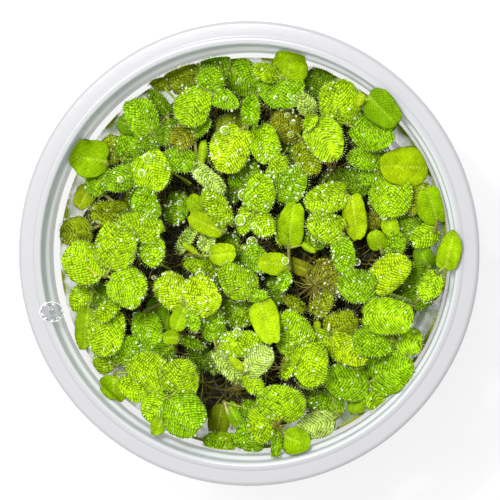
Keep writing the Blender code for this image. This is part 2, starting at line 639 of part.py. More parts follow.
def add_water(plants, parts, cutters, material):
    """The water, clear of the cup by the gap and with a pocket round each plant's root."""
    low = inner_radius_low(WATER_FLOOR) - GAP
    high = inner_radius(WATER_TOP) - GAP
    profile = [(0, WATER_TOP), (high, WATER_TOP), (low, WATER_FLOOR), (0, WATER_FLOOR)]
    water = add_turned("water", profile, parts, material)
    form = bmesh.new()
    for _, _, root in plants:
        if root:
            place, top, end = root
            start = (top - WATER_TOP - 1.0) / (top - end)
            add_bar(form, (*place, WATER_TOP + 1.0), (*place, end - POCKET_GAP),
                    ROOT_TOP + start * (ROOT_END - ROOT_TOP) + POCKET_GAP, ROOT_END + POCKET_GAP, 5)
    add_boolean(water, add_object("pockets", mesh_of(form, "pockets"), cutters), "DIFFERENCE")


def inner_radius_low(height):
    """Radius of the cup's inside below the water."""
    (low_radius, low), (high_radius, high) = INSIDE[4], INSIDE[5]
    return low_radius + (high_radius - low_radius) * (height - low) / (high - low)


def new_material(name):
    colour, roughness, transmission = MATERIALS[name]
    material = bpy.data.materials.new(name)
    material.use_nodes = True
    shader = material.node_tree.nodes["Principled BSDF"]
    shader.inputs["Base Color"].default_value = (*colour, 1.0)
    shader.inputs["Roughness"].default_value = roughness
    shader.inputs["Metallic"].default_value = 0.0
    shader.inputs["Transmission Weight"].default_value = transmission
    return material


def new_collection(name):
    collection = bpy.data.collections.new(name)
    bpy.context.scene.collection.children.link(collection)
    return collection


def main():
    clear_scene()
    parts, cutters = new_collection(OBJECT_NAME), new_collection("cutters")
    materials = {name: new_material(name) for name in MATERIALS}
    add_turned("cup", INSIDE + FLANGE + OUTSIDE, parts, materials["clear_plastic"])
    plants = settle()
    brim = add_brim(cutters)
    for number, plant in enumerate(plants, 1):
        add_plant(number, plant, parts, cutters, materials, brim)
    add_water(plants, parts, cutters, materials["water"])


main()
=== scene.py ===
"""Salvinia in a cup: the fine model and its stage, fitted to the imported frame.

Lengths are in millimetres in the row frame and are turned to metres when a mesh is made.
"""
import functools
import math

import bpy
import numpy as np
from bpy.props import FloatProperty, FloatVectorProperty, IntProperty, PointerProperty
from mathutils import Matrix, Vector


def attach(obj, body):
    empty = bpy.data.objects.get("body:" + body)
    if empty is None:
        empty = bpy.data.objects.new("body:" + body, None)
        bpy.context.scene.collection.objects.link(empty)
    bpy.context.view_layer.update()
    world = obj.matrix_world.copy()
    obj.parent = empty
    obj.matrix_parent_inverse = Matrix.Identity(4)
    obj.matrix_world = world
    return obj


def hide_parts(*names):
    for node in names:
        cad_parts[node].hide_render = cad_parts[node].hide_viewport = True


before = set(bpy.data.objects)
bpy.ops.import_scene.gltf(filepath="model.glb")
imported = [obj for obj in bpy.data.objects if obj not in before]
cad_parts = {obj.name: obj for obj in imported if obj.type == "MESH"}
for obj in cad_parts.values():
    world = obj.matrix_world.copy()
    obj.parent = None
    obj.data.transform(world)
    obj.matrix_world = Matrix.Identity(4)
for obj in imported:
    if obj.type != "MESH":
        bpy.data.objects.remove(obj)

bl_info = {
    "name": "Salvinia in a cup",
    "version": (1, 0, 0),
    "blender": (4, 5, 0),
    "location": "View3D > Sidebar > Salvinia",
    "description": "Builds a floating fern mat in a clear cup of water, and its stage",
    "category": "Add Mesh",
}

MM = 0.001
SEEDS = {"plants": 7, "drops": 5, "stems": 6, "threads": 8}  # for what is drawn by chance

# the cup's section from its inside over the flange and down: radius, height and look
CUP_SECTION = (
    (0.0, 1.3, "floor"), (29.6, 1.3, "floor"), (30.4, 0.85, "edge"), (36.2, 0.8, "floor"),
    (37.0, 1.1, "edge"), (37.4, 2.6, "side"), (40.2, 21.0, "side"), (42.6, 37.3, "side"),
    (43.0, 40.0, "wall"), (43.3, 41.9, "wall"), (43.5, 43.2, "wall"), (43.56, 43.6, "foot"),
    (43.8, 45.0, "foot"), (43.95, 45.8, "ledge"), (44.2, 46.25, "ledge"), (44.6, 46.5, "ledge"),
    (44.82, 47.0, "band"), (45.0, 49.2, "band"), (45.12, 49.65, "lip"), (45.4, 49.92, "lip"),
    (45.75, 50.0, "flange"), (46.5, 50.0, "flange"), (46.62, 49.9, "step"),
    (46.85, 49.9, "flange"), (49.1, 49.98, "flange"), (49.6, 49.93, "edge"), (49.9, 49.7, "edge"),
    (50.0, 49.35, "edge"), (50.0, 48.5, "edge"), (49.88, 48.3, "edge"), (49.62, 48.3, "edge"),
    (49.5, 48.5, "flange"), (49.35, 49.05, "flange"), (49.0, 49.25, "flange"),
    (46.3, 49.25, "flange"), (45.85, 49.05, "lip"), (45.7, 48.6, "lip"), (45.45, 46.4, "ledge"),
    (45.2, 45.75, "ledge"), (44.7, 45.25, "foot"), (44.6, 44.8, "wall"), (43.8, 40.0, "side"),
    (41.0, 21.0, "side"), (38.1, 2.0, "side"), (37.85, 0.6, "edge"), (37.3, 0.1, "edge"),
    (36.8, 0.0, "floor"), (30.6, 0.0, "floor"), (30.0, 0.1, "edge"), (29.7, 0.5, "edge"),
    (0.0, 0.5, "floor"))
# the clear cup's greys at its bends, ledges and edges are painted reflection and shade
CUP_LOOKS = {  # sRGB colour, and how much it covers of what is behind
    "floor": ("D2D6D4", 0.14), "side": ("87918C", 0.12), "wall": ("D8DCDA", 0.12),
    "foot": ("7C8A80", 0.62), "ledge": ("D4D8DA", 0.82), "band": ("C2CBCF", 0.60),
    "lip": ("C8CACC", 0.88), "flange": ("BCBCBF", 0.88), "step": ("AEAEB1", 0.90),
    "edge": ("B6B6B9", 0.80)}
# the inside of the wall from the water up: heights and the radius at each
INSIDE_HEIGHTS = (40.0, 45.8, 46.4, 49.3, 50.0)
INSIDE_RADII = (43.0, 43.9, 44.6, 45.0, 45.6)

# the water's section from its middle out and down: radius, height and share of the line's look, a
# painted reflection and shade of the meniscus at the wall
WATER_SECTION = (
    (0, 39.85, 0), (20, 39.85, 0), (35.5, 39.85, 0), (37.5, 39.85, 0), (40.6, 39.85, 0),
    (41.6, 39.88, 0), (42.0, 39.93, 0.2), (42.3, 40.0, 0.9), (42.55, 40.15, 1),
    (42.7, 40.32, 1), (42.69, 39.6, 0), (41.3, 30, 0), (37.6, 5, 0), (36.9, 1.7, 0),
    (36.6, 1.6, 0), (0, 1.6, 0))
WATER_TOP, WATER_STEPS = 40.0, 128
# how much the water covers: its top within the mat's radius, its sides and foot, and its line at
# the wall, where points above a height belong to the top
COVER_MIDDLE, COVER_BODY, COVER_LINE = 0.02, 0.09, 0.85
MAT_RADIUS, SURFACE_HEIGHT = 36, 39.8

# how the mat settles, as in the solids: squares of its height map, and how far past its margin a
# form covers them
CELL, GRID_HALF = 0.2, 52.0
EDGE, SIDE_EDGE = 0.1, 0.12
SETTLE_GAP, LEAF_THICK, CROWN_RADIUS, RHIZOME_RADIUS = 0.38, 0.45, 0.8, 0.5
# a leaf rises by its pitch along its length and by its slope to its sides
PITCH_LEAST, PITCH_SPREAD, PITCH_MOST = -0.12, 0.19, 0.36
SLOPES = {"fold": 0.75, "edge": 1.5, "bud": 0.0}
SLOPE_LEAST, SLOPE_SPREAD = -0.10, 0.22
# the foot of a leaf, which only its crown can lift, in steps
FOOT_REACH, LIFT_STEP, LIFT_TRIES = 1.6, 0.15, 80
SMOOTH_FORMS = ("smooth", "bud", "rim")  # leaves that show no hairs
# a leaf on the rim: height, slope up to a radius and a little past it, and its crown's drop
RIM_LEAF_HEIGHT, RIM_LEAF_SLOPE, RIM_LEAF_DROP = 50.75, 0.6, 0.8
RIM_RADIUS, RIM_LEVEL = 45.0, 0.2
WALL_RADIUS, CROWN_REACH = 42.4, 41.3  # how far out leaves and crowns lie
# roots: radii, room round the top, distance between two, how far out, and length
ROOT_TOP, ROOT_END, ROOT_ROOM, ROOT_SPACING, ROOT_REACH = 0.35, 1.2, 0.75, 3.4, 36.5
ROOT_LEAST, ROOT_SPREAD = 13.0, 12.0
ROOT_SHARES = (0.12, 0.25, 0.4, 0.55, 0.7, 0.85)
GOLDEN = 0.6180339887

# blades: how much larger than their solids, their thickness, and rows and columns of their grids
SWELL, BLADE_THICK = 0.12, 0.28
LARGE_LEAF, LARGE_GRID, SMALL_GRID = 5, (27, 23), (19, 15)
# a blade's belly, sunk midrib and its width, raised tip, curled margins and waves
BELLY, MIDRIB_SINK, MIDRIB_WIDTH, TIP_RISE = 0.22, 0.26, 0.4, 0.03
CURL, COUNTER_CURL, WAVE = 0.10, -1.4, 0.10
# ribs: distance between two and between the knobs on one, lean and bend from the midrib
RIB_STEP, KNOB_STEP = 0.66, 0.58
RIB_LEAN, RIB_BEND = 0.45, 0.4
RIDGED_REACH = 1.5
# where a blade turns up at the wall: radius, width, rise, and distance and thickness there
TURN_RADIUS, TURN_WIDTH, TURN_RISE, TURN_GAP, TURN_THICK = 41.9, 0.6, 0.85, 0.35, 0.2
# hairs: how they lean aside, along and up, how far astray, radius and share of their length
HAIR_LEAN, HAIR_STRAY, HAIR_RADIUS, HAIR_SHARES = (0.45, 0.40, 0.62), 0.2, 0.05, (0.6, 1.15)
# where hairs stand: how far off the midrib, how scattered, and the oval that they fill
HAIR_START, HAIR_SCATTER, HAIR_OVAL, HAIR_FILL = 0.3, (0.07, 0.05), 2.2, 0.90
# fringe: hairs for each mm of the half axes, power of the oval, rise, lengths and radius
FRINGE_DENSITY, FRINGE_POWER, FRINGE_RISE = 6, 2.3, 0.35
FRINGE_LENGTHS, FRINGE_RADIUS = (0.35, 0.8), 0.10
SPIKE_TURNS = (0, 2.094, 4.189)
FROSTED_LEAST, FROSTED_SPREAD, UNFROSTED = 0.11, 0.36, 0.16

# light in the pile: reach of the mean top, fall of the light, and the wall's inside as a top
SHADE_REACH, SHADE_RATE, SHADE_LEAST = 3.0, 0.42, 0.28
WALL_INSIDE, WALL_SHADE = 43.0, 45.5
COVERED_DEPTH, COVERED_SHARE = 0.9, 0.5

# crowns, rhizomes, stalks and threads as drawn: half heights and radii
CROWN_HALF, CROWN_NECK, CROWN_WIDE = 0.7, 0.05, 0.55
RHIZOME_DRAWN, STALK_RADII = 0.38, (0.34, 0.2)
ROOT_THREADS, LONG_THREADS, THREAD_RADII = 22, 4, (0.16, 0.05)
FAN_RADII, DRIFT_RADII = (0.10, 0.05), (0.2, 0.08)
# drifting threads: how far out and how high they start, length, turn, how fast they sink (mean
# and spread), and the heights and the room in the cup that they keep to
DRIFT_REACH, DRIFT_STARTS, DRIFT_LENGTHS = 37, (35, 39.4), (4, 13)
DRIFT_TURN, DRIFT_SINK, DRIFT_HEIGHTS = 0.8, (-0.25, 0.3), (22, 39.5)
DRIFT_ROOM, DRIFT_TAPER, CUP_FLOOR = 35.6, 0.05, 2

# the felt of old roots: radius, height of its top and foot at the middle, rings and steps
FELT_RADIUS, FELT_TOP, FELT_FOOT, FELT_RINGS, FELT_STEPS = 37.6, 36.4, 33.0, 59, 160
FELT_DEPTH, FELT_ROUGH = 3.5, (0.45, 0.5)
FELT_WAVES = ((0.9, 0.4, 0), (-0.5, 1.1, 2), (1.7, -0.8, 4), (0.6, 2.1, 1), (-2.3, 0.9, 3))

# small drops: the middle of the mat, and how many more lie in it than outside
DROP_MIDDLE, DROP_SHARES = 24, (1.4, 0.45)
FLANGE_DROP, FLANGE_DROP_WIDTH = (-42.6, -12.7, 50.2), 4.8
FLANGE_DROP_FORM = (1.15, 0.95, 0.45)

# the stage: the floor's half width, points along a side and height, and each light's name,
# width in m, share of the power and place in m
FLOOR_HALF, FLOOR_POINTS, FLOOR_HEIGHT = 900, 7, -0.3
LIGHTS = (("Soft light", 0.45, 1.0, (-0.24, 0.3, 0.75)),
          ("Small light", 0.05, 0.25, (-0.1, 0.2, 0.6)))
LIGHT_AIM = (0, 0, 0.04)
# the camera: what it looks at, how far off, its lean to +X and to +Y in radians, and its lens
CAMERA_AIM, CAMERA_AWAY = (0.163, 0.741, 45.0), 600.0
CAMERA_LEAN, CAMERA_TIP, CAMERA_SENSOR, CAMERA_LENS = 0.1340, 0.01055, 36.0, 199.36

TINTS = {  # sRGB colour of the blade
    "bright": "9ABA0A", "yellow": "98B406", "lime": "8CB108", "fresh": "86AE07", "green": "749F06",
    "deep": "5E8206", "olive": "7A8C0A", "brown": "70760E", "pale": "A0BA50"}
LIME_TINTS = ("lime", "bright", "yellow", "pale", "fresh")
OLD_TINTS = ("olive", "brown")
COLOURS = {  # sRGB colour of the other parts
    "midrib": "C4DA48", "old margin": "5A4A10", "frost": "F2FAB8", "crown": "6E7A1E",
    "rhizome": "7C7A24", "stalk": "93A02E", "root": "5A5012", "felt": "24200A",
    # the drops' colours are painted light: a highlight on the small ones, the leaf green seen
    # through the large ones, and shade on the flange drop
    # the water line is painted reflection and shade of the meniscus at the wall
    "water line": "868E1A", "small drop": "EEFBC0", "large drop": "BFE82C",
    "flange drop": "8A8E90"}

# The plants, lowest first: crowns, then leaves as the place of the middle (x, y), length and
# width in mm, the way the tip points in degrees, form and tint.
PLANTS = (
    # lowest in the mat
    (((6.6, -8.8),), (
        (5.0, -7.1, 4.0, 3.0, 135, "hairy", "green"),
        (5.2, -10.0, 4.0, 3.0, -140, "hairy", "deep"),
        (9.6, -11.0, 5.0, 2.6, -35, "fold", "olive"))),
    (((-8.2, -26.3),), (
        (-11.3, -22.6, 6.2, 4.6, 125, "hairy", "deep"),
        (-8.0, -23.8, 4.6, 3.6, 80, "hairy", "deep"))),
    (((-18.3, -10.0), (-23.6, -12.8)), (
        (-20.2, -11.6, 6.4, 4.8, -135, "smooth", "green"),
        (-18.7, -15.0, 3.8, 2.8, -105, "smooth", "green"),
        (-22.7, -16.8, 8.4, 6.2, -74, "hairy", "green"))),
    (((-15.4, -18.4),), (
        (-17.2, -18.3, 3.5, 3.1, 180, "smooth", "lime"),
        (-12.6, -19.4, 5.4, 2.2, -18, "edge", "deep"),
        (-19.0, -21.8, 5.2, 4.2, -137, "hairy", "deep"))),
    (((-15.0, 13.0),), (
        (-16.4, 9.8, 6.8, 4.9, -109, "hairy", "green"),)),
    (((-6.0, -32.6),), (
        (-7.2, -36.6, 7.2, 4.4, -102, "smooth", "olive"),
        (-3.6, -35.3, 5.8, 3.2, -60, "smooth", "green"),
        (0.2, -34.2, 5.0, 3.8, -20, "hairy", "deep"))),
    (((-3.4, -41.4),), (
        (-6.8, -41.3, 6.6, 4.4, 176, "hairy", "fresh"),
        (0.2, -39.9, 6.8, 6.4, 62, "hairy", "green"))),
    (((19.2, -35.2),), (
        (16.3, -32.7, 7.6, 6.6, 142, "hairy", "green"),
        (14.4, -37.2, 7.8, 5.4, 196, "hairy", "pale"),
        (14.2, -28.9, 7.6, 1.8, 172, "edge", "pale"))),
    (((-35.4, 5.2), (-27.0, 8.8), (-34.9, 14.4)), (
        (-38.9, 4.6, 6.8, 6.0, 186, "hairy", "olive"),
        (-37.0, 12.3, 5.4, 4.2, -122, "smooth", "olive"),
        (-25.7, 12.2, 5.6, 4.0, 95, "hairy", "lime"),
        (-31.4, 8.6, 8.6, 5.2, 180, "fold", "olive"))),
    (((-35.0, -8.0),), (
        (-37.6, -10.0, 5.8, 5.4, -140, "hairy", "lime"),
        (-32.3, -9.9, 5.6, 5.4, -30, "hairy", "deep"),
        (-36.5, -16.4, 8.6, 4.2, -94, "smooth", "lime"))),
    (((-30.2, -24.6),), (
        (-32.4, -23.4, 5.6, 5.4, 128, "hairy", "lime"),
        (-27.0, -21.7, 7.0, 5.2, 58, "hairy", "green"))),
    (((-28.4, 20.2),), (
        (-30.5, 22.8, 6.0, 6.0, 120, "hairy", "olive"),
        (-26.6, 23.4, 7.0, 6.3, 60, "hairy", "green"))),
    (((-21.6, 26.0), (-18.0, 30.2)), (
        (-21.9, 23.6, 4.6, 4.2, -86, "hairy", "deep"),
        (-18.3, 26.6, 6.0, 5.0, -95, "hairy", "deep"),
        (-26.8, 28.0, 4.5, 4.0, 158, "smooth", "deep"),
        (-20.0, 32.7, 6.5, 3.4, 132, "fold", "deep"),
        (-23.4, 29.6, 8.0, 6.6, 117, "hairy", "green"))),
    (((-12.5, 27.3), (-11.3, 19.3)), (
        (-14.4, 25.4, 6.0, 5.0, -130, "hairy", "brown"),
        (-15.0, 20.3, 6.6, 5.0, 170, "hairy", "green"),
        (-10.6, 27.4, 5.0, 3.4, 40, "fold", "green"),
        (-10.3, 21.9, 5.2, 2.0, 82, "bud", "lime"),
        (-8.9, 16.3, 8.5, 3.6, -40, "fold", "pale"))),
    (((11.0, 25.0),), (
        (8.0, 21.2, 7.0, 4.8, -115, "hairy", "deep"),
        (7.7, 27.5, 6.8, 6.5, 150, "hairy", "brown"),
        (12.2, 20.8, 8.0, 5.6, -70, "hairy", "olive"))),
    (((29.3, 19.6), (25.5, 14.5)), (
        (20.6, 15.3, 10.0, 6.0, 172, "hairy", "deep"),
        (26.8, 17.0, 6.0, 4.6, -150, "hairy", "green"),
        (25.3, 20.4, 7.6, 4.6, 178, "hairy", "green"))),
    (((-2.8, 1.5),), (
        (-5.6, 3.2, 6.0, 3.2, 160, "hairy", "deep"),
        (-2.0, -0.8, 5.0, 4.0, -70, "hairy", "green"),
        (1.2, -1.2, 6.8, 5.0, -40, "hairy", "green"))),
    (((-0.2, -11.5),), (
        (-3.4, -13.1, 7.4, 6.4, 195, "hairy", "fresh"),)),
    # in the middle
    (((-6.4, -3.4),), (
        (-6.7, -5.2, 3.8, 2.8, -105, "hairy", "green"),
        (-10.9, -2.7, 8.0, 4.4, 167, "hairy", "lime"))),
    (((-18.1, 36.0),), (
        (-15.1, 39.0, 7.8, 7.4, 45, "hairy", "olive"),
        (-20.4, 37.4, 4.6, 3.2, 152, "hairy", "olive"))),
    (((-5.0, 40.2),), (
        (-8.0, 41.0, 6.6, 6.0, 162, "hairy", "green"),
        (-1.4, 37.8, 8.2, 7.0, -35, "hairy", "green"))),
    (((-9.5, 35.5),), (
        (-8.2, 37.4, 5.5, 6.0, 60, "hairy", "green"),
        (-5.0, 33.3, 6.4, 3.9, -20, "hairy", "green"),
        (-12.0, 32.0, 8.6, 7.2, -110, "hairy", "fresh"))),
    (((0.8, 27.6),), (
        (-3.8, 27.3, 8.0, 6.0, 190, "hairy", "olive"),
        (3.3, 24.0, 8.4, 6.0, -70, "hairy", "fresh"))),
    (((16.0, 33.4), (21.2, 27.9)), (
        (14.9, 36.9, 7.0, 6.0, 105, "hairy", "deep"),
        (26.6, 26.5, 9.8, 8.2, -8, "hairy", "green"),
        (19.8, 32.4, 9.2, 8.4, 98, "hairy", "lime"))),
    (((38.8, -2.9), (35.6, -11.3)), (
        (37.6, -0.9, 5.0, 4.0, 120, "smooth", "green"),
        (36.6, -7.2, 9.6, 8.2, -115, "hairy", "green"),
        (31.6, -10.0, 8.0, 2.2, 160, "edge", "pale"))),
    (((28.6, 0.2), (29.3, 9.0), (35.8, 9.0)), (
        (26.9, 7.2, 4.6, 3.6, -150, "hairy", "brown"),
        (34.2, 5.8, 6.2, 5.0, -105, "hairy", "deep"),
        (31.2, 2.0, 5.4, 4.6, 30, "hairy", "green"),
        (30.4, 5.9, 4.4, 3.6, -70, "smooth", "lime"),
        (27.5, 2.8, 4.2, 3.9, 110, "smooth", "lime"))),
    (((5.2, 12.5), (-3.0, 13.5)), (
        (-4.0, 12.6, 4.0, 3.0, -140, "hairy", "deep"),
        (8.9, 14.6, 8.0, 6.6, 38, "hairy", "green"),
        (6.2, 17.6, 7.2, 4.4, 70, "hairy", "lime"),
        (-1.5, 16.8, 7.4, 6.0, 70, "hairy", "green"))),
    (((13.3, -4.5), (14.5, -13.5)), (
        (10.3, -2.9, 7.5, 3.0, 155, "smooth", "brown"),
        (16.9, -5.3, 8.0, 6.4, -35, "hairy", "brown"),
        (15.8, -11.0, 6.4, 4.0, 50, "hairy", "olive"),
        (14.5, -15.9, 2.4, 1.5, -95, "bud", "yellow"))),
    (((25.7, -28.0),), (
        (23.4, -32.2, 5.6, 4.2, -118, "smooth", "fresh"),
        (27.8, -32.0, 5.4, 4.8, -62, "hairy", "fresh"),
        (30.6, -25.6, 9.6, 9.2, 22, "hairy", "green"),
        (21.2, -27.4, 9.2, 8.6, 176, "hairy", "green"))),
    (((17.2, -17.6),), (
        (15.0, -19.4, 5.4, 4.6, -139, "hairy", "lime"),
        (20.0, -15.8, 7.0, 6.4, 30, "hairy", "olive"),
        (21.2, -21.0, 9.0, 5.6, -30, "hairy", "yellow"))),
    (((-29.8, -26.3),), (
        (-22.4, -26.0, 9.6, 8.6, 0, "hairy", "lime"),
        (-30.3, -30.0, 6.6, 5.8, -92, "smooth", "fresh"),
        (-25.7, -29.7, 7.0, 3.6, -34, "fold", "lime"))),
    (((-28.8, -10.8),), (
        (-31.6, -17.2, 9.8, 7.6, -106, "hairy", "lime"),
        (-30.9, -12.5, 5.8, 3.4, -140, "fold", "lime"))),
    (((-7.3, -20.6),), (
        (-8.1, -15.6, 7.4, 5.2, 94, "hairy", "green"),
        (-4.5, -25.0, 9.4, 3.2, -47, "fold", "pale"),
        (-2.0, -19.5, 9.8, 5.2, 3, "hairy", "lime"))),
    (((-10.7, -0.6), (-15.5, 0.0)), (
        (-9.5, 2.4, 4.4, 3.4, 75, "fold", "pale"),
        (-13.9, 3.2, 7.0, 2.6, 55, "edge", "pale"),
        (-6.0, -0.2, 6.0, 4.4, 8, "smooth", "bright"),
        (-13.0, 1.0, 3.8, 1.4, 140, "bud", "yellow"))),
    # over those
    (((-31.6, 19.4),), (
        (-33.6, 15.9, 6.5, 5.0, -108, "hairy", "green"),
        (-35.3, 20.6, 7.6, 7.6, 172, "smooth", "fresh"))),
    (((-23.5, 20.0),), (
        (-27.4, 16.4, 7.2, 5.2, 205, "hairy", "green"),
        (-20.9, 17.8, 8.6, 7.8, -62, "hairy", "lime"))),
    (((-0.5, 27.7),), (
        (0.4, 31.0, 6.8, 3.8, 88, "fold", "green"),
        (-4.2, 22.8, 9.8, 8.4, -112, "hairy", "bright"))),
    (((7.2, 37.9),), (
        (6.8, 35.1, 7.0, 9.2, -95, "hairy", "green"),
        (3.7, 39.2, 5.4, 3.6, 160, "fold", "lime"),
        (8.8, 40.7, 6.8, 7.2, 75, "smooth", "lime"))),
    (((13.8, 29.6),), (
        (12.6, 32.2, 4.8, 3.8, 115, "fold", "pale"),
        (13.3, 28.4, 4.0, 2.4, -120, "fold", "lime"),
        (16.6, 24.5, 9.4, 7.6, -60, "hairy", "lime"))),
    (((-20.0, 4.2),), (
        (-22.0, 10.7, 7.0, 5.6, 102, "hairy", "green"),
        (-20.9, 0.2, 5.8, 5.2, -95, "hairy", "fresh"),
        (-23.2, 5.8, 9.2, 6.0, 160, "hairy", "lime"))),
    (((-16.9, -31.0),), (
        (-19.3, -37.1, 4.4, 3.4, -115, "smooth", "lime"),
        (-14.5, -26.6, 7.8, 7.8, 78, "hairy", "lime"),
        (-19.8, -33.2, 6.8, 6.2, -138, "hairy", "fresh"),
        (-13.8, -34.6, 9.4, 8.8, -46, "hairy", "green"))),
    (((-31.0, -4.8),), (
        (-35.7, -2.2, 9.4, 8.2, 138, "hairy", "lime"),
        (-26.2, -7.2, 8.6, 8.0, -27, "hairy", "fresh"),
        (-28.4, 1.2, 9.8, 8.4, 72, "hairy", "lime"))),
    (((6.1, -36.8),), (
        (6.1, -40.9, 7.0, 2.2, -92, "fold", "green"),
        (2.9, -37.0, 5.4, 7.6, 188, "hairy", "lime"),
        (10.3, -40.6, 6.2, 5.4, -25, "smooth", "fresh"),
        (7.3, -32.5, 7.6, 9.8, 88, "hairy", "fresh"))),
    (((20.8, 13.2),), (
        (22.7, 8.0, 9.6, 4.8, -82, "smooth", "yellow"),
        (16.9, 11.8, 8.8, 6.0, 198, "hairy", "lime"))),
    (((8.6, -3.2), (8.3, 1.2)), (
        (14.5, 3.1, 5.6, 4.2, 20, "hairy", "green"),
        (12.7, 1.2, 3.4, 1.5, -30, "bud", "lime"),
        (6.8, 4.8, 6.5, 2.6, 95, "fold", "lime"),
        (7.6, -6.0, 4.4, 2.8, -110, "fold", "green"),
        (9.0, 6.2, 9.4, 5.4, 80, "smooth", "lime"),
        (5.4, -2.2, 6.2, 4.5, 172, "smooth", "bright"))),
    (((20.4, 4.1),), (
        (20.5, -0.4, 7.6, 4.6, -80, "hairy", "green"),
        (16.8, 5.6, 7.8, 6.0, 165, "hairy", "lime"))),
    (((1.2, 8.9),), (
        (-1.2, 7.4, 6.4, 3.7, -110, "hairy", "lime"),
        (3.0, 6.2, 5.6, 4.8, -45, "hairy", "lime"),
        (2.3, 13.0, 8.6, 6.4, 75, "hairy", "fresh"))),
    (((10.9, -20.8),), (
        (9.3, -17.2, 9.0, 7.8, 118, "hairy", "fresh"),
        (8.9, -24.0, 6.0, 2.8, -112, "fold", "lime"),
        (13.4, -24.0, 9.0, 7.6, -75, "hairy", "lime"))),
    (((0.2, -9.4),), (
        (2.0, -9.1, 4.4, 2.6, 5, "hairy", "green"),
        (-2.5, -6.0, 8.4, 6.6, 140, "hairy", "fresh"),
        (3.9, -14.8, 9.4, 5.6, -70, "smooth", "bright"))),
    (((-0.9, -25.8),), (
        (-2.5, -23.8, 4.2, 1.8, 136, "bud", "yellow"),
        (0.9, -28.0, 5.0, 3.6, -48, "hairy", "lime"),
        (2.2, -23.2, 7.4, 5.2, 48, "hairy", "pale"))),
    (((-14.0, -11.2),), (
        (-11.9, -14.4, 4.8, 2.8, -78, "hairy", "green"),
        (-14.8, -13.9, 5.6, 3.6, -110, "smooth", "lime"),
        (-16.7, -8.2, 7.8, 6.8, 130, "hairy", "bright"),
        (-10.4, -9.3, 8.2, 8.4, 24, "hairy", "bright"))),
    (((25.8, -14.8), (31.6, -18.8)), (
        (27.2, -18.7, 8.4, 6.4, 182, "hairy", "green"),
        (34.6, -18.9, 5.6, 5.8, -6, "hairy", "fresh"),
        (30.2, -13.4, 10.6, 7.2, -3, "hairy", "fresh"))),
    # on top
    (((-5.6, 4.7),), (
        (-11.4, 10.3, 5.2, 3.7, 140, "smooth", "lime"),
        (-6.7, 9.8, 8.8, 4.6, 118, "hairy", "lime"),
        (-9.3, 6.3, 7.4, 4.1, 153, "smooth", "bright"))),
    (((26.8, -7.9),), (
        (23.8, -7.0, 7.6, 6.6, 172, "hairy", "green"),
        (30.4, -4.1, 9.4, 6.6, 42, "hairy", "bright"))),
    (((38.7, 18.2), (31.0, 16.4)), (
        (36.2, 12.2, 7.0, 3.6, -110, "hairy", "olive"),
        (30.6, 12.2, 8.2, 8.6, -92, "hairy", "fresh"),
        (33.6, 18.7, 9.6, 7.8, 178, "smooth", "yellow"))),
    (((25.2, 33.3),), (
        (24.4, 32.8, 3.2, 2.0, -125, "bud", "yellow"),
        (29.2, 30.8, 9.4, 7.0, -46, "rim", "green"))),
    (((39.9, 4.8), (40.6, 7.3)), (
        (37.8, 3.8, 6.2, 4.76, -153, "hairy", "fresh"),
        (39.6, 10.3, 7.8, 6.2, 106, "smooth", "fresh"))),
    (((41.8, -4.1),), (
        (39.5, -7.0, 6.4, 4.6, -118, "hairy", "fresh"),
        (43.7, 0.6, 9.0, 5.4, 75, "rim", "lime"))),
)

# leaves whose ribs stand out
RIDGED = (
    (30.2, -13.4), (34.6, -18.9), (21.2, -27.4), (30.6, -25.6), (27.8, -32), (14.4, -37.2),
    (2.2, -23.2), (-38.9, 4.6), (16.6, 24.5))

# clear drops of water that stand out: place and width
DROPS = (
    (-21.9, 20.7, 2.2), (-23, 17.4, 1.7), (-27.8, 16, 1.5), (-5.3, 26.7, 2), (8, 30, 1.2),
    (9.3, 28.5, 1.2), (8.7, 25.8, 1.5), (10.3, 18.8, 1.8), (-1.4, 12.7, 2.8), (-2.2, 7.2, 2.5),
    (1, 6, 1.5), (7.9, -1.6, 1.7), (-11.3, -5, 2.3), (23, -1.9, 1.7), (29, 8, 1.5),
    (-11.1, 17.4, 1.8), (-5, 33.5, 1), (-2.5, 37.5, 1.2), (13.9, 3.5, 1.5), (-15.8, 11, 1.3),
    (-16, 8.7, 1), (-2.3, -17, 2), (-26, -13.5, 1), (-21.8, -5.4, 1), (-12.6, -17.3, 0.8),
    (0, 2.4, 2.5), (2.3, -5.5, 0.8), (5.7, 33.7, 1), (8.7, 34.2, 1), (-22.4, -17.8, 1))

# loose stems that show between the leaves: width, colour and the places they pass
STEMS = (
    (0.55, "C8CD78", (-14.9, 33.5), (-16.6, 30.5), (-17.3, 27.5)),
    (0.5, "9DBE22", (-19, 36), (-17.6, 34.4), (-16.3, 32.5)),
    (0.5, "A8B24A", (8, 23), (7.2, 21.8), (6, 20.3)),
    (0.6, "D6D8A0", (16.3, -12), (17.3, -14), (17.1, -16.7)),
    (0.6, "CDB98A", (-5.8, -32.5), (-5, -35), (-4.4, -38.5)),
    (0.5, "B9C21C", (-35.3, -3), (-33.4, -4.4), (-31.3, -5.3)),
    (0.5, "B9C21C", (-34.3, 11.3), (-33.7, 12.4), (-33, 13.5)),
    (0.5, "98A82A", (-19.5, -2.4), (-18.2, -3.6), (-17, -4.5)),
    (0.55, "8FAE18", (-20.5, 20.8), (-17.5, 18), (-13.5, 15.2)),
    (0.45, "6B5A14", (20.2, 22.6), (17.8, 18), (14.6, 13.8)),
    (0.45, "6B5A14", (14.4, 21.6), (17.8, 18), (22.3, 20.4)),
    (0.45, "7A6A1C", (6, -21), (7.2, -24.5), (7.8, -28)),
    (0.45, "7A6A1C", (5.5, -36), (6.4, -37.6), (7.6, -39)),
    (0.4, "5E4C12", (11, -4.5), (14, -7), (18.6, -10.6)),
    (0.4, "6B5716", (13.2, -2.8), (14, -7), (12.2, -12.4)),
    (0.4, "57450F", (18.4, -4.4), (14, -7), (8.8, -9.8)),
    (0.35, "6B5716", (15.4, -1.8), (14.6, -6), (15.6, -11.4)),
    (0.45, "66521A", (-4.8, -26.8), (-3.6, -29), (-2.2, -31)))

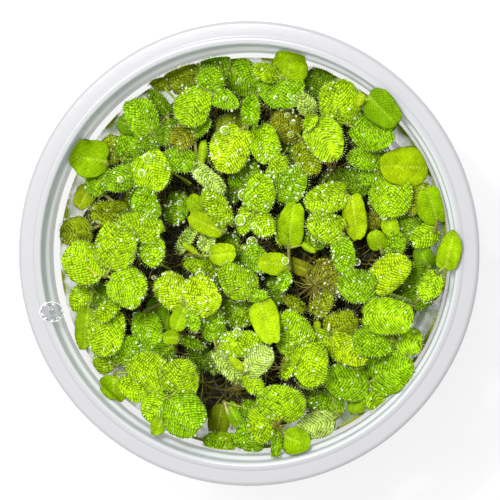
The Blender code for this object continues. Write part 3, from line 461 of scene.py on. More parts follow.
# fans of bared roots on the mat: middle, reach, number of threads and colour
FANS = (
    (14, -7, 6.2, 44, "807C10"), (17.8, 18, 3.6, 14, "5A4C10"), (-3.4, -29, 4.0, 26, "6E6410"),
    (6.4, -37.4, 3.4, 14, "7B7412"), (7.0, -24.5, 3.4, 12, "6E6610"))


def linear(text):
    """An sRGB hex colour as linear red, green and blue."""
    value = np.array([int(text[i:i + 2], 16) for i in (0, 2, 4)]) / 255
    return np.where(value <= 0.04045, value / 12.92, ((value + 0.055) / 1.055) ** 2.4)


def opaque(name):
    """A colour of the list as linear red, green and blue, with a full fourth value."""
    return (*linear(COLOURS[name]), 1)


def spread(number):
    """An even spread of shares from 0 to 1, one for each whole number."""
    return (number * GOLDEN) % 1.0


def within(place, most):
    """A place in plan, drawn in to a radius where it lies outside it."""
    pull = min(1.0, most / math.hypot(*place))
    return place[0] * pull, place[1] * pull


# how a leaf lies and how the plants settle on each other: the same rules as in the solids


def half_width(share):
    """Half the width at a share s of the length, for a leaf whose widest half width is 1: the
    power 0.3 of 4 s (1 - s)."""
    return np.clip(4 * share * (1 - share), 0, 1) ** 0.3


class Leaf:
    """A leaf as two planes that meet at the midrib. Its pitch is set when its plant settles."""

    def __init__(self, row, crowns, number):
        x, y, self.length, width, heading, self.form, self.tint = row
        self.number = number
        self.half = width / 2
        turn = math.radians(heading)
        self.along = np.array((math.cos(turn), math.sin(turn)))
        self.side = np.array((-self.along[1], self.along[0]))
        self.base = np.array((x, y)) - self.along * self.length / 2
        gaps = [float(np.hypot(*(self.base - crown))) for crown in crowns]
        self.crown = int(np.argmin(gaps))
        self.stalk = gaps[self.crown]
        self.crown_place = np.array(crowns[self.crown])
        self.slope = SLOPES.get(self.form, SLOPE_LEAST + SLOPE_SPREAD * spread(7 * number + 3))
        self.pitch = PITCH_LEAST + PITCH_SPREAD * spread(number)
        self.thick = width * 0.5 if self.form == "bud" else LEAF_THICK
        self.crown_height = WATER_TOP

    def swell(self, share):
        """Makes the blade larger by a share, about its middle."""
        self.base = self.base - self.along * self.length * share / 2
        self.length *= 1 + share
        self.half *= 1 + share
        self.stalk = max(0.2, self.stalk - self.length * share / 2)

    def place(self, share, across):
        """Point of the leaf in plan, where across is -1 at one margin and 1 at the other."""
        return self.base + self.along * self.length * share + self.side * self.half * across

    def spot(self, distance, aside):
        """The x and y of a point, by its distance from the base and aside of the midrib."""
        return [self.base[i] + distance * self.along[i] + aside * self.side[i] for i in (0, 1)]

    def height(self, distance, aside):
        """Height of the leaf's middle surface, distance from the base and aside of the midrib."""
        if self.form == "rim":
            past = np.hypot(*self.spot(distance, aside)) - RIM_RADIUS
            return RIM_LEAF_HEIGHT + RIM_LEAF_SLOPE * np.minimum(past, RIM_LEVEL)
        return self.crown_height + self.pitch * (self.stalk + distance) + self.slope * np.abs(aside)


class Mat:
    """The height of the pile over each small square of the water."""

    def __init__(self):
        self.axis = np.arange(-GRID_HALF, GRID_HALF, CELL) + CELL / 2
        self.top = np.full((len(self.axis), len(self.axis)), WATER_TOP)

    def squares(self, low, high):
        """The x and y of the middles of the squares between two corners."""
        x = self.axis[(self.axis > low[0]) & (self.axis < high[0])]
        y = self.axis[(self.axis > low[1]) & (self.axis < high[1])]
        x, y = np.meshgrid(x, y)
        return x.ravel(), y.ravel()

    def index(self, x, y):
        """The rows and columns of the squares at these places."""
        return tuple(((value + GRID_HALF) / CELL).astype(int) for value in (y, x))

    def disc(self, place, radius):
        """The squares within a radius of a place."""
        x, y = self.squares(np.array(place) - radius, np.array(place) + radius)
        inside = np.hypot(x - place[0], y - place[1]) <= radius
        return self.index(x[inside], y[inside])

    def rhizome(self, crowns, heights, first):
        """The squares under the rhizome that follows a crown, and its height over each."""
        start, end, radius = crowns[first], crowns[first + 1], RHIZOME_RADIUS + EDGE
        x, y = self.squares(np.minimum(start, end) - radius, np.maximum(start, end) + radius)
        line = np.array(end) - np.array(start)
        share = ((x - start[0]) * line[0] + (y - start[1]) * line[1]) / max(line @ line, 1e-6)
        share = np.clip(share, 0, 1)
        near = np.hypot(x - start[0] - share * line[0], y - start[1] - share * line[1]) <= radius
        height = heights[first] + share[near] * (heights[first + 1] - heights[first])
        return self.index(x[near], y[near]), height

    def footprint(self, leaf):
        """The squares under a leaf, with its distance along and aside and half its thickness."""
        reach = leaf.length / 2 + leaf.half + 0.5
        middle = leaf.place(0.5, 0)
        x, y = self.squares(middle - reach, middle + reach)
        distance = (x - leaf.base[0]) * leaf.along[0] + (y - leaf.base[1]) * leaf.along[1]
        aside = (x - leaf.base[0]) * leaf.side[0] + (y - leaf.base[1]) * leaf.side[1]
        half = leaf.half * half_width(distance / leaf.length)
        inside = (distance > -EDGE) & (distance < leaf.length + EDGE)
        inside &= np.abs(aside) <= half + SIDE_EDGE
        inside &= np.hypot(x, y) < (GRID_HALF if leaf.form == "rim" else WALL_RADIUS)
        x, y, distance, aside, half = (v[inside] for v in (x, y, distance, aside, half))
        thin = leaf.thick / 2 * np.clip(1 - np.abs(aside) / np.maximum(half, 0.1), 0, 1)
        return self.index(x, y), distance, aside, thin


def pitch_needed(mat, own, leaf):
    """The least pitch that lifts the leaf clear of the pile, and whether its foot is clear."""
    cells, distance, aside, thin = mat.footprint(leaf)
    run = leaf.stalk + distance
    far = run > FOOT_REACH
    below = np.where(far, np.maximum(mat.top[cells], own[cells]), mat.top[cells])
    short = below + SETTLE_GAP + thin - leaf.slope * np.abs(aside) - leaf.crown_height
    needed = float((short[far] / run[far]).max())
    return needed, far.all() or short[~far].max() <= max(leaf.pitch, needed)


def settle_plant(mat, crowns, leaves):
    """Lowers a plant on the pile and returns the heights of its crowns."""
    heights = []
    for crown in crowns:
        cells = mat.disc(crown, CROWN_RADIUS + EDGE)
        heights.append(float(mat.top[cells].max()) + CROWN_RADIUS + SETTLE_GAP)
    for first in range(len(crowns) - 1):
        cells, height = mat.rhizome(crowns, heights, first)
        short = max(0.0, (mat.top[cells] + RHIZOME_RADIUS + SETTLE_GAP - height).max())
        heights[first] += short
        heights[first + 1] += short
    own = np.full(mat.top.shape, WATER_TOP)
    for leaf in leaves:
        if leaf.form == "rim":
            lowest = float(leaf.height(0.0, 0.0)) - RIM_LEAF_DROP
            heights[leaf.crown] = max(heights[leaf.crown], lowest)
    for leaf in leaves:
        leaf.crown_height = heights[leaf.crown]
        if leaf.form != "rim":
            lift_leaf(mat, own, leaf, heights)
        cover(mat, own, leaf)
    return heights


def lift_leaf(mat, own, leaf, heights):
    """Tilts the leaf up until it clears the pile, and lifts its crown where that isn't enough."""
    for _ in range(LIFT_TRIES):
        needed, foot_clear = pitch_needed(mat, own, leaf)
        if needed <= PITCH_MOST and foot_clear:
            break
        leaf.crown_height += LIFT_STEP
    leaf.pitch = max(leaf.pitch, needed)
    heights[leaf.crown] = max(heights[leaf.crown], leaf.crown_height)


def cover(mat, own, leaf):
    """Raises the pile to the top of a leaf."""
    cells, distance, aside, thin = mat.footprint(leaf)
    np.maximum.at(own, cells, leaf.height(distance, aside) + thin)


def cover_crowns(mat, own, crowns, heights):
    """Raises the pile to the top of a plant's crowns and rhizome."""
    for crown, height in zip(crowns, heights):
        np.maximum.at(own, mat.disc(crown, CROWN_RADIUS + EDGE), height + CROWN_RADIUS)
    for first in range(len(crowns) - 1):
        cells, height = mat.rhizome(crowns, heights, first)
        np.maximum.at(own, cells, height + RHIZOME_RADIUS)


def light_in(mat):
    """How much light reaches a point of the pile: it falls off as exp(-SHADE_RATE d), where d is
    how far the point lies under the mean top of the pile round it, and a share of how far it lies
    under what is right over it."""
    sums = np.zeros(np.add(mat.top.shape, 1))
    radius = np.hypot(*np.meshgrid(mat.axis, mat.axis))
    sums[1:, 1:] = np.where(radius > WALL_INSIDE, WALL_SHADE, mat.top).cumsum(0).cumsum(1)
    half = int(SHADE_REACH / CELL)
    low = np.clip(np.arange(len(mat.axis)) - half, 0, None)
    high = np.clip(np.arange(len(mat.axis)) + half + 1, None, len(mat.axis))
    total = (sums[np.ix_(high, high)] - sums[np.ix_(high, low)] - sums[np.ix_(low, high)]
             + sums[np.ix_(low, low)])
    mean = total / np.outer(high - low, high - low)

    def shade(points):
        """The share of light at each point."""
        spot, height = mat.index(points[..., 0], points[..., 1]), points[..., 2]
        covered = np.maximum(mat.top[spot] - height - COVERED_DEPTH, 0) * COVERED_SHARE
        depth = np.maximum(mean[spot] - height, 0) + covered
        return SHADE_LEAST + (1 - SHADE_LEAST) * np.exp(-SHADE_RATE * depth)

    return shade


def root_place(mat, crowns, leaves, roots):
    """A place under the plant with open water below it and room beside the roots already there."""
    places = [(crown, None) for crown in crowns]
    for share in ROOT_SHARES:
        places += [(tuple(leaf.place(share, 0)), leaf) for leaf in leaves if leaf.form == "hairy"]
    for place, leaf in places:
        if np.hypot(*place) > ROOT_REACH:
            continue
        if mat.top[mat.disc(place, ROOT_TOP + ROOT_ROOM)].max() > WATER_TOP + 0.01:
            continue
        if all(np.hypot(place[0] - x, place[1] - y) >= ROOT_SPACING for x, y in roots):
            return place, leaf
    return None, None


@functools.cache
def settle():
    """Settles every plant, lowest first: a list of (crowns, leaves, root), and the pile."""
    mat, roots, plants, number = Mat(), [], [], 0
    for crowns, rows in PLANTS:
        crowns = [within(crown, CROWN_REACH) for crown in crowns]
        leaves = [Leaf(row, crowns, number + i) for i, row in enumerate(rows)]
        number += len(rows)
        heights = settle_plant(mat, crowns, leaves)
        own = np.full(mat.top.shape, WATER_TOP)
        for leaf in leaves:
            leaf.crown_height = heights[leaf.crown]
            cover(mat, own, leaf)
            if leaf.form != "rim":
                leaf.swell(SWELL)
        root = None
        place, holder = root_place(mat, crowns, leaves, roots)
        if place is not None:
            roots.append(place)
            top = heights[crowns.index(place)] if holder is None else float(
                holder.height(np.dot(np.array(place) - holder.base, holder.along), 0.0))
            end = WATER_TOP - ROOT_LEAST - ROOT_SPREAD * spread(len(roots))
            root = (place, top, end)
        cover_crowns(mat, own, crowns, heights)
        mat.top = np.maximum(mat.top, own)
        plants.append((list(zip(crowns, heights)), leaves, root))
    return plants, mat


# meshes


class Shape:
    """Surfaces gathered as arrays of points and faces, each point with a tint and its place on
    its leaf: the distance that the ribs are counted along, the distance aside, and 1 where the
    ribs stand out."""

    def __init__(self):
        self.points, self.faces, self.slots, self.tints, self.ribs = [], [], [], [], []
        self.count = 0

    def add(self, points, faces, slot=0, tint=(1, 1, 1, 1), rib=(0, 0, 0)):
        """Adds points (n, 3) and one or more sets of faces (m, 3 or 4)."""
        points = np.asarray(points, float).reshape(-1, 3)
        self.points.append(points)
        for group in faces if isinstance(faces, tuple) else (faces,):
            self.faces.append(group + self.count)
            self.slots.append(np.full(len(group), slot))
        self.tints.append(np.broadcast_to(np.asarray(tint, float), (len(points), 4)))
        self.ribs.append(np.broadcast_to(np.asarray(rib, float), (len(points), 3)))
        self.count += len(points)

    def mesh(self, name):
        """The mesh in metres, written with foreach_set."""
        points = np.concatenate(self.points) * MM
        mesh = bpy.data.meshes.new(name)
        mesh.vertices.add(len(points))
        mesh.vertices.foreach_set("co", points.ravel())
        sizes = np.concatenate([np.full(len(face), face.shape[1]) for face in self.faces])
        loops = np.concatenate([face.ravel() for face in self.faces])
        mesh.loops.add(len(loops))
        mesh.loops.foreach_set("vertex_index", loops)
        mesh.polygons.add(len(sizes))
        mesh.polygons.foreach_set("loop_start", np.concatenate([[0], np.cumsum(sizes)[:-1]]))
        mesh.polygons.foreach_set("material_index", np.concatenate(self.slots))
        mesh.polygons.foreach_set("use_smooth", np.ones(len(sizes), bool))
        tint = mesh.attributes.new("tint", "FLOAT_COLOR", "POINT")
        tint.data.foreach_set("color", np.concatenate(self.tints).ravel())
        rib = mesh.attributes.new("rib", "FLOAT_VECTOR", "POINT")
        rib.data.foreach_set("vector", np.concatenate(self.ribs).ravel())
        mesh.update(calc_edges=True)
        mesh.validate()
        return mesh


def add_piece(name, mesh, slot, materials, nodes=()):
    """Puts a finished piece in the scene: it rides the root body and stands for its nodes."""
    obj = bpy.data.objects.new(name, mesh)
    bpy.context.scene.collection.objects.link(obj)
    for material in materials:
        mesh.materials.append(material)
    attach(obj, "root")
    if nodes:
        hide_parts(*nodes)


def unit(rows, least=0.0):
    """Each row at length 1. A least length keeps a row of zeros as it is."""
    return rows / (np.linalg.norm(rows, axis=1, keepdims=True) + least)


def end_caps(sides, last, pole):
    """Triangles that close a grid of rings: from a pole to the first ring, and from the point
    after it to the ring that starts at last."""
    spin = np.arange(sides)
    after = (spin + 1) % sides
    return np.vstack([np.stack([np.full(sides, pole), after, spin], -1),
                      np.stack([np.full(sides, pole + 1), last + spin, last + after], -1)])


def grid_faces(rows, columns, wrap=False):
    """Four-sided faces of a grid of points that is stored row by row, and closed round if wrap."""
    row, column = np.meshgrid(np.arange(rows - 1), np.arange(columns if wrap else columns - 1),
                              indexing="ij")
    after = (column + 1) % columns
    faces = (row * columns + column, row * columns + after,
             (row + 1) * columns + after, (row + 1) * columns + column)
    return np.stack(faces, -1).reshape(-1, 4)


def turned(section, looks, steps):
    """A shape: a section of radii and heights carried round +Z, x = r cos a and y = r sin a, with
    a look for each of its points. Its ends on the axis are single points."""
    radius, height = (np.array([point[i] for point in section], float) for i in (0, 1))
    angle = np.arange(steps) * 2 * math.pi / steps
    points = np.stack([np.outer(radius, np.cos(angle)), np.outer(radius, np.sin(angle)),
                       np.repeat(height[:, None], steps, axis=1)], -1)[1:-1].reshape(-1, 3)
    caps = end_caps(steps, len(points) - steps, len(points))
    shape = Shape()
    shape.add(np.vstack([points, (0, 0, height[0]), (0, 0, height[-1])]),
              (grid_faces(len(section) - 2, steps, wrap=True), caps), 0,
              np.vstack([np.repeat(looks[1:-1], steps, axis=0), looks[0], looks[-1]]))
    return shape


def add_tube(shape, path, radius, slot, tint, sides):
    """A round tube along a path: each ring is c + r (u cos a + v sin a), where u and v lie across
    the path, and a point closes each end."""
    path = np.asarray(path, float)
    radius = np.broadcast_to(radius, len(path))
    line = unit(np.gradient(path, axis=0), 1e-12)
    guide = np.where(np.abs(line[:, 2:]) < 0.9, (0.0, 0.0, 1.0), (1.0, 0.0, 0.0))
    first = unit(np.cross(guide, line), 1e-12)
    second = np.cross(line, first)
    angle = np.arange(sides) * 2 * math.pi / sides
    around = first[:, None] * np.cos(angle)[:, None] + second[:, None] * np.sin(angle)[:, None]
    points = (path[:, None] + around * radius[:, None, None]).reshape(-1, 3)
    caps = end_caps(sides, len(points) - sides, len(points))
    shape.add(np.vstack([points, path[0], path[-1]]),
              (grid_faces(len(path), sides, wrap=True), caps), slot, tint)


def bowed(start, end, lift, steps):
    """A path between two points that bows up by lift in the middle."""
    share = np.linspace(0, 1, steps)[:, None]
    path = np.asarray(start) * (1 - share) + np.asarray(end) * share
    path[:, 2] += lift * np.sin(math.pi * share[:, 0])
    return path


# the leaves


def round_plan(leaf, rows, columns):
    """The grid of a leaf in plan: a square s, t is bent to an oval, a = s sqrt(1 - t t / 2) and
    b = t sqrt(1 - s s / 2), made fuller by a power law, waved at the margin, wider towards its
    base, notched at the tip, hollowed at the base and swept to one side."""
    s, t = np.meshgrid(np.linspace(-1, 1, rows), np.linspace(-1, 1, columns), indexing="ij")
    a, b = s * np.sqrt(1 - t * t / 2), t * np.sqrt(1 - s * s / 2)
    fullness = 2.0 + 0.3 * spread(leaf.number * 11)
    size = np.hypot(a, b) + 1e-9
    bulk = size / ((np.abs(a) ** fullness + np.abs(b) ** fullness) ** (1 / fullness) + 1e-9)
    turn = np.arctan2(b, a)
    wave = 1 + 0.022 * np.sin(5 * turn + 6 * spread(leaf.number * 5)) + 0.012 * np.sin(13 * turn)
    a, b = a * bulk * wave, b * bulk * wave
    taper = 0.34 * spread(leaf.number * 13) - 0.08
    notch, hollow = 0.09 * spread(leaf.number * 17), 0.13
    sweep = 0.34 * (spread(leaf.number * 19) - 0.5)
    b = b * (1.0 - taper * a)
    a = a - notch * np.exp(-(b / 0.16) ** 2) * np.clip(s, 0, 1) ** 6
    a = a + hollow * np.exp(-(b / 0.2) ** 2) * np.clip(-s, 0, 1) ** 6
    b = b + sweep * a ** 2
    rim = np.maximum(np.abs(s), np.abs(t))
    return leaf.length * (a + 1) / 2, leaf.half * b, rim


def leaf_point(leaf, distance, aside, lift):
    """A point of the leaf: its plan place at its height, plus lift, turned up at the wall. The
    blade bellies along its length, sinks along its midrib and rises to its tip, its margins curl,
    and it waves a little."""
    along = np.clip(distance / leaf.length, 0, 1)
    out = np.abs(aside) / leaf.half
    camber = BELLY * np.sin(along * math.pi)
    curl = leaf.half * CURL * out ** 3 * (1 if leaf.number % 3 else COUNTER_CURL)
    wave = WAVE * np.sin(along * 9 + 7 * spread(leaf.number)) * out ** 2
    if leaf.form != "bud":
        camber = camber - MIDRIB_SINK * np.exp(-(aside / MIDRIB_WIDTH) ** 2)
        camber = camber + TIP_RISE * leaf.length * along ** 4
    x, y = leaf.spot(distance, aside)
    z = leaf.height(distance, aside) + camber + curl + wave
    if leaf.form == "rim":
        return np.stack([x, y, z + lift], -1)
    radius = np.hypot(x, y) + 1e-9
    excess = np.maximum(radius - TURN_RADIUS, 0)
    upright = np.clip(excess / TURN_WIDTH, 0, 1)
    z = z + TURN_RISE * excess + lift * (1 - upright)
    wall = np.interp(z, INSIDE_HEIGHTS, INSIDE_RADII)
    most = wall - TURN_GAP - (TURN_THICK + lift) * upright
    pull = np.minimum(1.0, most / radius)
    return np.stack([x * pull, y * pull, z], -1)


def rib_place(leaf, distance, aside):
    """Where a point lies along the ribs, which leave the midrib and curve to the tip."""
    return distance - RIB_LEAN * np.abs(aside) - RIB_BEND * aside ** 2 / leaf.half


def leaf_tint(leaf, distance, aside, rim, points, shade):
    """The blade's colour: its tint, lighter along the midrib and to the tip, duller towards the
    margin, and darkened by painted shade where the pile stands over it. Its fourth value is how
    strong the ribs are."""
    smooth = leaf.form in SMOOTH_FORMS
    share = np.clip(distance / leaf.length, 0, 1)
    midrib = np.exp(-(aside / 0.22) ** 2) * (1 - share) ** 0.5
    fade = (0.8 if smooth else 1) + 0.14 * (spread(leaf.number * 3) - 0.5)
    fade = fade - 0.14 * rim ** 4 + 0.12 * (share - 0.4)
    tint = linear(TINTS[leaf.tint]) * fade[..., None]
    tint = tint + (linear(COLOURS["midrib"]) - tint) * (0.35 * midrib)[..., None]
    if leaf.tint in OLD_TINTS:
        edge = np.clip((rim - 0.84) / 0.16, 0, 1)[..., None]
        tint = tint + (linear(COLOURS["old margin"]) - tint) * 0.55 * edge
    # painted shade: the colour is darkened by how little light reaches this point of the pile
    tint = tint * shade(points)[..., None]
    relief = np.full(tint.shape[:-1] + (1,), 0.35 if smooth else 1.0)
    return np.concatenate([tint, relief], -1)


def add_blade(shape, leaf, shade):
    """A leaf blade as a closed thin form: a top and a darker underside that meet at the margin."""
    rows, columns = LARGE_GRID if leaf.length > LARGE_LEAF else SMALL_GRID
    distance, aside, rim = round_plan(leaf, rows, columns)
    thick = (leaf.half * 0.8 if leaf.form == "bud" else BLADE_THICK) * (1 - rim ** 6) / 2
    top = leaf_point(leaf, distance, aside, thick)
    under = leaf_point(leaf, distance, aside, -thick).reshape(-1, 3)
    tint = leaf_tint(leaf, distance, aside, rim, top, shade).reshape(-1, 4)
    ridged = min(math.dist(leaf.place(0.5, 0), place) for place in RIDGED) < RIDGED_REACH
    rib = np.stack([rib_place(leaf, distance, aside), aside, np.full_like(aside, ridged)], -1)
    rib = rib.reshape(-1, 3)
    faces = grid_faces(rows, columns)
    edge = rim.ravel() > 0.999
    below = np.where(edge, np.arange(rows * columns), rows * columns + np.cumsum(~edge) - 1)
    shape.add(np.vstack([top.reshape(-1, 3), under[~edge]]),
              np.vstack([faces, below[faces][:, ::-1]]), 0,
              np.vstack([tint, tint[~edge] * (0.8, 0.8, 0.8, 1)]), np.vstack([rib, rib[~edge]]))


def leaning(way, up, rng):
    """The leans of hairs that point a way in plan and up, each a little astray."""
    rows = np.column_stack([way, np.full(len(way), up)])
    return unit(rows + rng.normal(0, HAIR_STRAY, rows.shape))


def hairs_of(leaf, size):
    """The feet, leans and lengths of a leaf's hairs: in rows along its ribs, RIB_STEP apart, and
    leaning to the margin and to the tip."""
    rng = np.random.default_rng(leaf.number)
    row = np.arange(-leaf.half, leaf.length + 0.6, RIB_STEP)
    step = np.arange(HAIR_START, leaf.half, KNOB_STEP)
    row, step = (v.ravel() for v in np.meshgrid(row, step))
    astray, along = HAIR_SCATTER
    aside = np.concatenate([step, -step]) + rng.normal(0, astray, 2 * len(step))
    distance = np.concatenate([row, row + RIB_STEP / 2]) + RIB_LEAN * np.abs(aside)
    distance = distance + RIB_BEND * aside ** 2 / leaf.half + rng.normal(0, along, len(aside))
    reach = (np.abs(2 * distance / leaf.length - 1) ** HAIR_OVAL
             + np.abs(aside / leaf.half) ** HAIR_OVAL)
    distance, aside = distance[reach < HAIR_FILL], aside[reach < HAIR_FILL]
    foot = leaf_point(leaf, distance, aside, np.full(len(distance), 0.10))
    out, along, up = HAIR_LEAN
    way = np.sign(aside)[:, None] * leaf.side * out + leaf.along * along
    return foot, leaning(way, up, rng), size * rng.uniform(*HAIR_SHARES, len(foot))


def hair_tips(plants, size):
    """The tips of all hairs."""
    hairy = [leaf for _, leaves, _ in plants for leaf in leaves if leaf.form not in SMOOTH_FORMS]
    return np.concatenate([foot + lean * length[:, None]
                           for foot, lean, length in (hairs_of(leaf, size) for leaf in hairy)])


def add_fringe(shape, leaf, shade):
    """The spiky margin: short hairs that point out round the edge of the leaf, and leave out the
    foot of its blade."""
    rng = np.random.default_rng(leaf.number)
    count = int(FRINGE_DENSITY * (leaf.length / 2 + leaf.half))
    turn = np.linspace(0.25, 2 * math.pi - 0.25, count) + math.pi
    a, b = np.cos(turn), np.sin(turn)
    bulk = 1 / (np.abs(a) ** FRINGE_POWER + np.abs(b) ** FRINGE_POWER) ** (1 / FRINGE_POWER)
    distance, aside = leaf.length * (a * bulk + 1) / 2, leaf.half * b * bulk
    foot = leaf_point(leaf, distance * 0.97 + leaf.length * 0.015, aside * 0.95, np.zeros(count))
    lean = leaning(a[:, None] * leaf.along + b[:, None] * leaf.side, FRINGE_RISE, rng)
    add_spikes(shape, foot, lean, rng.uniform(*FRINGE_LENGTHS, count), FRINGE_RADIUS, leaf, shade)


def add_spikes(shape, foot, lean, length, radius, leaf, shade):
    """Three-sided spikes from each foot along its lean. A share of a leaf's hairs is frosted white,
    the others are nearly the colour of the blade, and all carry painted shade where the pile stands
    over them."""
    first = unit(np.cross(lean, (0.3, 0.9, 0.1)))
    second = np.cross(lean, first)
    corners = [foot + (first * math.cos(turn) + second * math.sin(turn)) * radius
               for turn in SPIKE_TURNS]
    tip = foot + lean * length[:, None]
    points = np.stack(corners + [tip], 1).reshape(-1, 3)
    sides = np.array(((0, 1, 3), (1, 2, 3), (2, 0, 3), (2, 1, 0)))
    faces = (np.arange(len(foot))[:, None, None] * 4 + sides).reshape(-1, 3)
    frosted = FROSTED_LEAST + FROSTED_SPREAD * spread(leaf.number * 23)
    white = np.where(spread(np.arange(len(foot))) < frosted, 1.0, UNFROSTED)[:, None]
    colour = linear(TINTS[leaf.tint]) * (1 - white) + linear(COLOURS["frost"]) * white
    # painted shade: the hair's colour is darkened by how little light reaches its foot in the pile
    tint = np.repeat(colour * shade(foot)[:, None], 4, axis=0)
    shape.add(points, faces, 1, np.column_stack([tint, np.ones(len(tint))]))


def add_stalks(shape, crowns, leaves):
    """The crowns, the rhizome between them and a short stalk to each leaf."""
    turn = np.linspace(0, math.pi, 7)
    for place, height in crowns:
        path = np.column_stack([np.full(7, place[0]), np.full(7, place[1]),
                                height - CROWN_HALF * np.cos(turn)])
        add_tube(shape, path, CROWN_NECK + CROWN_WIDE * np.sin(turn), 2, opaque("crown"), 8)
    for (place, height), (after, after_height) in zip(crowns, crowns[1:]):
        path = bowed((*place, height), (*after, after_height), 0.2, 9)
        add_tube(shape, path, RHIZOME_DRAWN, 2, opaque("rhizome"), 7)
    for leaf in leaves:
        foot = (np.array([value]) for value in (leaf.length * 0.16, 0.0, -0.05))
        end = leaf_point(leaf, *foot)[0]
        path = bowed((*leaf.crown_place, leaf.crown_height), end, 0.12, 7)
        add_tube(shape, path, np.linspace(*STALK_RADII, 7), 2, opaque("stalk"), 6)


def add_root(shape, root, rng):
    """A brush of roots: fine threads that hang down and spread to the width of their solid."""
    place, top, end = root
    share = np.linspace(0, 1, 8)
    for thread in range(ROOT_THREADS):
        turn, out = rng.uniform(0, 2 * math.pi), math.sqrt(rng.uniform(0.02, 1))
        width = (ROOT_TOP + (ROOT_END - ROOT_TOP) * share) * out
        height = top - (top - end) * share * (1 if thread < LONG_THREADS else rng.uniform(0.55, 1))
        sway = 0.25 * np.sin(share * rng.uniform(4, 9) + turn) * share
        path = np.column_stack([place[0] + width * math.cos(turn) + sway,
                                place[1] + width * math.sin(turn) + sway[::-1] * 0.4, height])
        age = rng.uniform(0.6, 1.2)
        tint = (*(linear(COLOURS["root"]) * age), 1)
        add_tube(shape, path, np.linspace(*THREAD_RADII, 8), 2, tint, 4)


def plant_shape(crowns, leaves, root, rng, hair_length, shade):
    """One plant: blades, hairs, stalks and roots in one mesh."""
    shape = Shape()
    for leaf in leaves:
        add_blade(shape, leaf, shade)
        if leaf.form not in SMOOTH_FORMS:
            add_spikes(shape, *hairs_of(leaf, hair_length), HAIR_RADIUS, leaf, shade)
            add_fringe(shape, leaf, shade)
    add_stalks(shape, crowns, leaves)
    if root:
        add_root(shape, root, rng)
    return shape


# the roots, the drops and the slots


def add_fan(shape, mat, rng, x, y, reach, count, colour):
    """A fan of threads: each leaves the middle at its own angle, turns as it goes out, rises as a
    sine of the share s of its way and falls by 1.2 s s."""
    share = np.linspace(0.05, 1, 8)
    for turn in np.linspace(0, 2 * math.pi, count, endpoint=False) + rng.normal(0, 0.2, count):
        out = reach * rng.uniform(0.45, 1.1) * share
        bend = turn + rng.normal(0, 0.5) * share
        spot = np.column_stack([x + out * np.cos(bend), y + out * np.sin(bend)])
        under = mat.top[mat.index(*spot.T)].max()
        height = under + 0.2 + 0.5 * np.sin(share * 3) - 1.2 * share ** 2
        tint = (*(linear(colour) * rng.uniform(0.6, 1.5)), 1)
        add_tube(shape, np.column_stack([spot, height]), np.linspace(*FAN_RADII, 8), 0, tint, 4)


def felt_surface():
    """The dense felt of old roots: a lens with a ragged top, whose height is a sum of sine waves
    over the plan that fades out at the margin, closed by a ragged underside."""
    share = np.linspace(0, 1, FELT_RINGS + 1)[1:]
    turn = np.arange(FELT_STEPS) * 2 * math.pi / FELT_STEPS
    radius, turn = np.meshgrid(share * FELT_RADIUS, turn, indexing="ij")
    thin = np.clip((1 - radius / FELT_RADIUS) * 5, 0, 1) ** 0.5
    radius = radius * (1 + 0.03 * np.sin(7 * turn) + 0.025 * np.sin(17 * turn + 1))
    x, y = radius * np.cos(turn), radius * np.sin(turn)
    rough = sum(np.sin(x * a + y * b + c) for a, b, c in FELT_WAVES)
    upper = np.stack([x, y, FELT_TOP + FELT_ROUGH[0] * rough * thin], -1)
    sunk = (FELT_DEPTH + FELT_ROUGH[1] * rough[:, ::-1]) * thin
    lower = np.stack([x, y, FELT_TOP - sunk], -1)
    lower[-1, :, 2] -= 0.3
    points = np.vstack([upper.reshape(-1, 3), lower.reshape(-1, 3), (0, 0, FELT_TOP),
                        (0, 0, FELT_FOOT)])
    count, spin = radius.size, np.arange(FELT_STEPS)
    last, after = count - FELT_STEPS, (spin + 1) % FELT_STEPS
    faces = grid_faces(FELT_RINGS, FELT_STEPS, wrap=True)
    wall = np.stack([last + spin, count + last + spin, count + last + after, last + after], -1)
    caps = end_caps(FELT_STEPS, count, 2 * count)[:, [0, 2, 1]]
    return points, (faces, faces[:, ::-1] + count, wall, caps)


def drifting(rng):
    """The path of a root thread: it starts at a chance place under the mat, runs level while it
    turns and sinks, and keeps clear of the cup's wall."""
    radius, turn = DRIFT_REACH * math.sqrt(rng.uniform(0, 1)), rng.uniform(0, 2 * math.pi)
    start = (radius * math.cos(turn), radius * math.sin(turn), rng.uniform(*DRIFT_STARTS))
    way, length = rng.uniform(0, 2 * math.pi), rng.uniform(*DRIFT_LENGTHS)
    share = np.linspace(0, 1, 6)
    bend = way + rng.normal(0, DRIFT_TURN) * share
    step = np.column_stack([np.cos(bend), np.sin(bend), rng.normal(*DRIFT_SINK) * share])
    path = np.array(start) + step * (length * share)[:, None]
    path[:, 2] = np.clip(path[:, 2], *DRIFT_HEIGHTS)
    wide = np.maximum(np.hypot(path[:, 0], path[:, 1]), 1)
    room = DRIFT_ROOM + (path[:, 2] - CUP_FLOOR) * DRIFT_TAPER
    path[:, :2] *= np.minimum(1, room / wide)[:, None]
    return path


def unit_ball():
    """An even ball of radius 1: the twelve corners and twenty faces of an icosahedron."""
    wide = (1 + 5 ** 0.5) / 2
    points = np.array([(-1, wide, 0), (1, wide, 0), (-1, -wide, 0), (1, -wide, 0), (0, -1, wide),
                       (0, 1, wide), (0, -1, -wide), (0, 1, -wide), (wide, 0, -1), (wide, 0, 1),
                       (-wide, 0, -1), (-wide, 0, 1)], float)
    points /= np.linalg.norm(points[0])
    faces = np.array([(0, 11, 5), (0, 5, 1), (0, 1, 7), (0, 7, 10), (0, 10, 11), (1, 5, 9),
                      (5, 11, 4), (11, 10, 2), (10, 7, 6), (7, 1, 8), (3, 9, 4), (3, 4, 2),
                      (3, 2, 6), (3, 6, 8), (3, 8, 9), (4, 9, 5), (2, 4, 11), (6, 2, 10),
                      (8, 6, 7), (9, 8, 1)])
    return halved(points, faces)


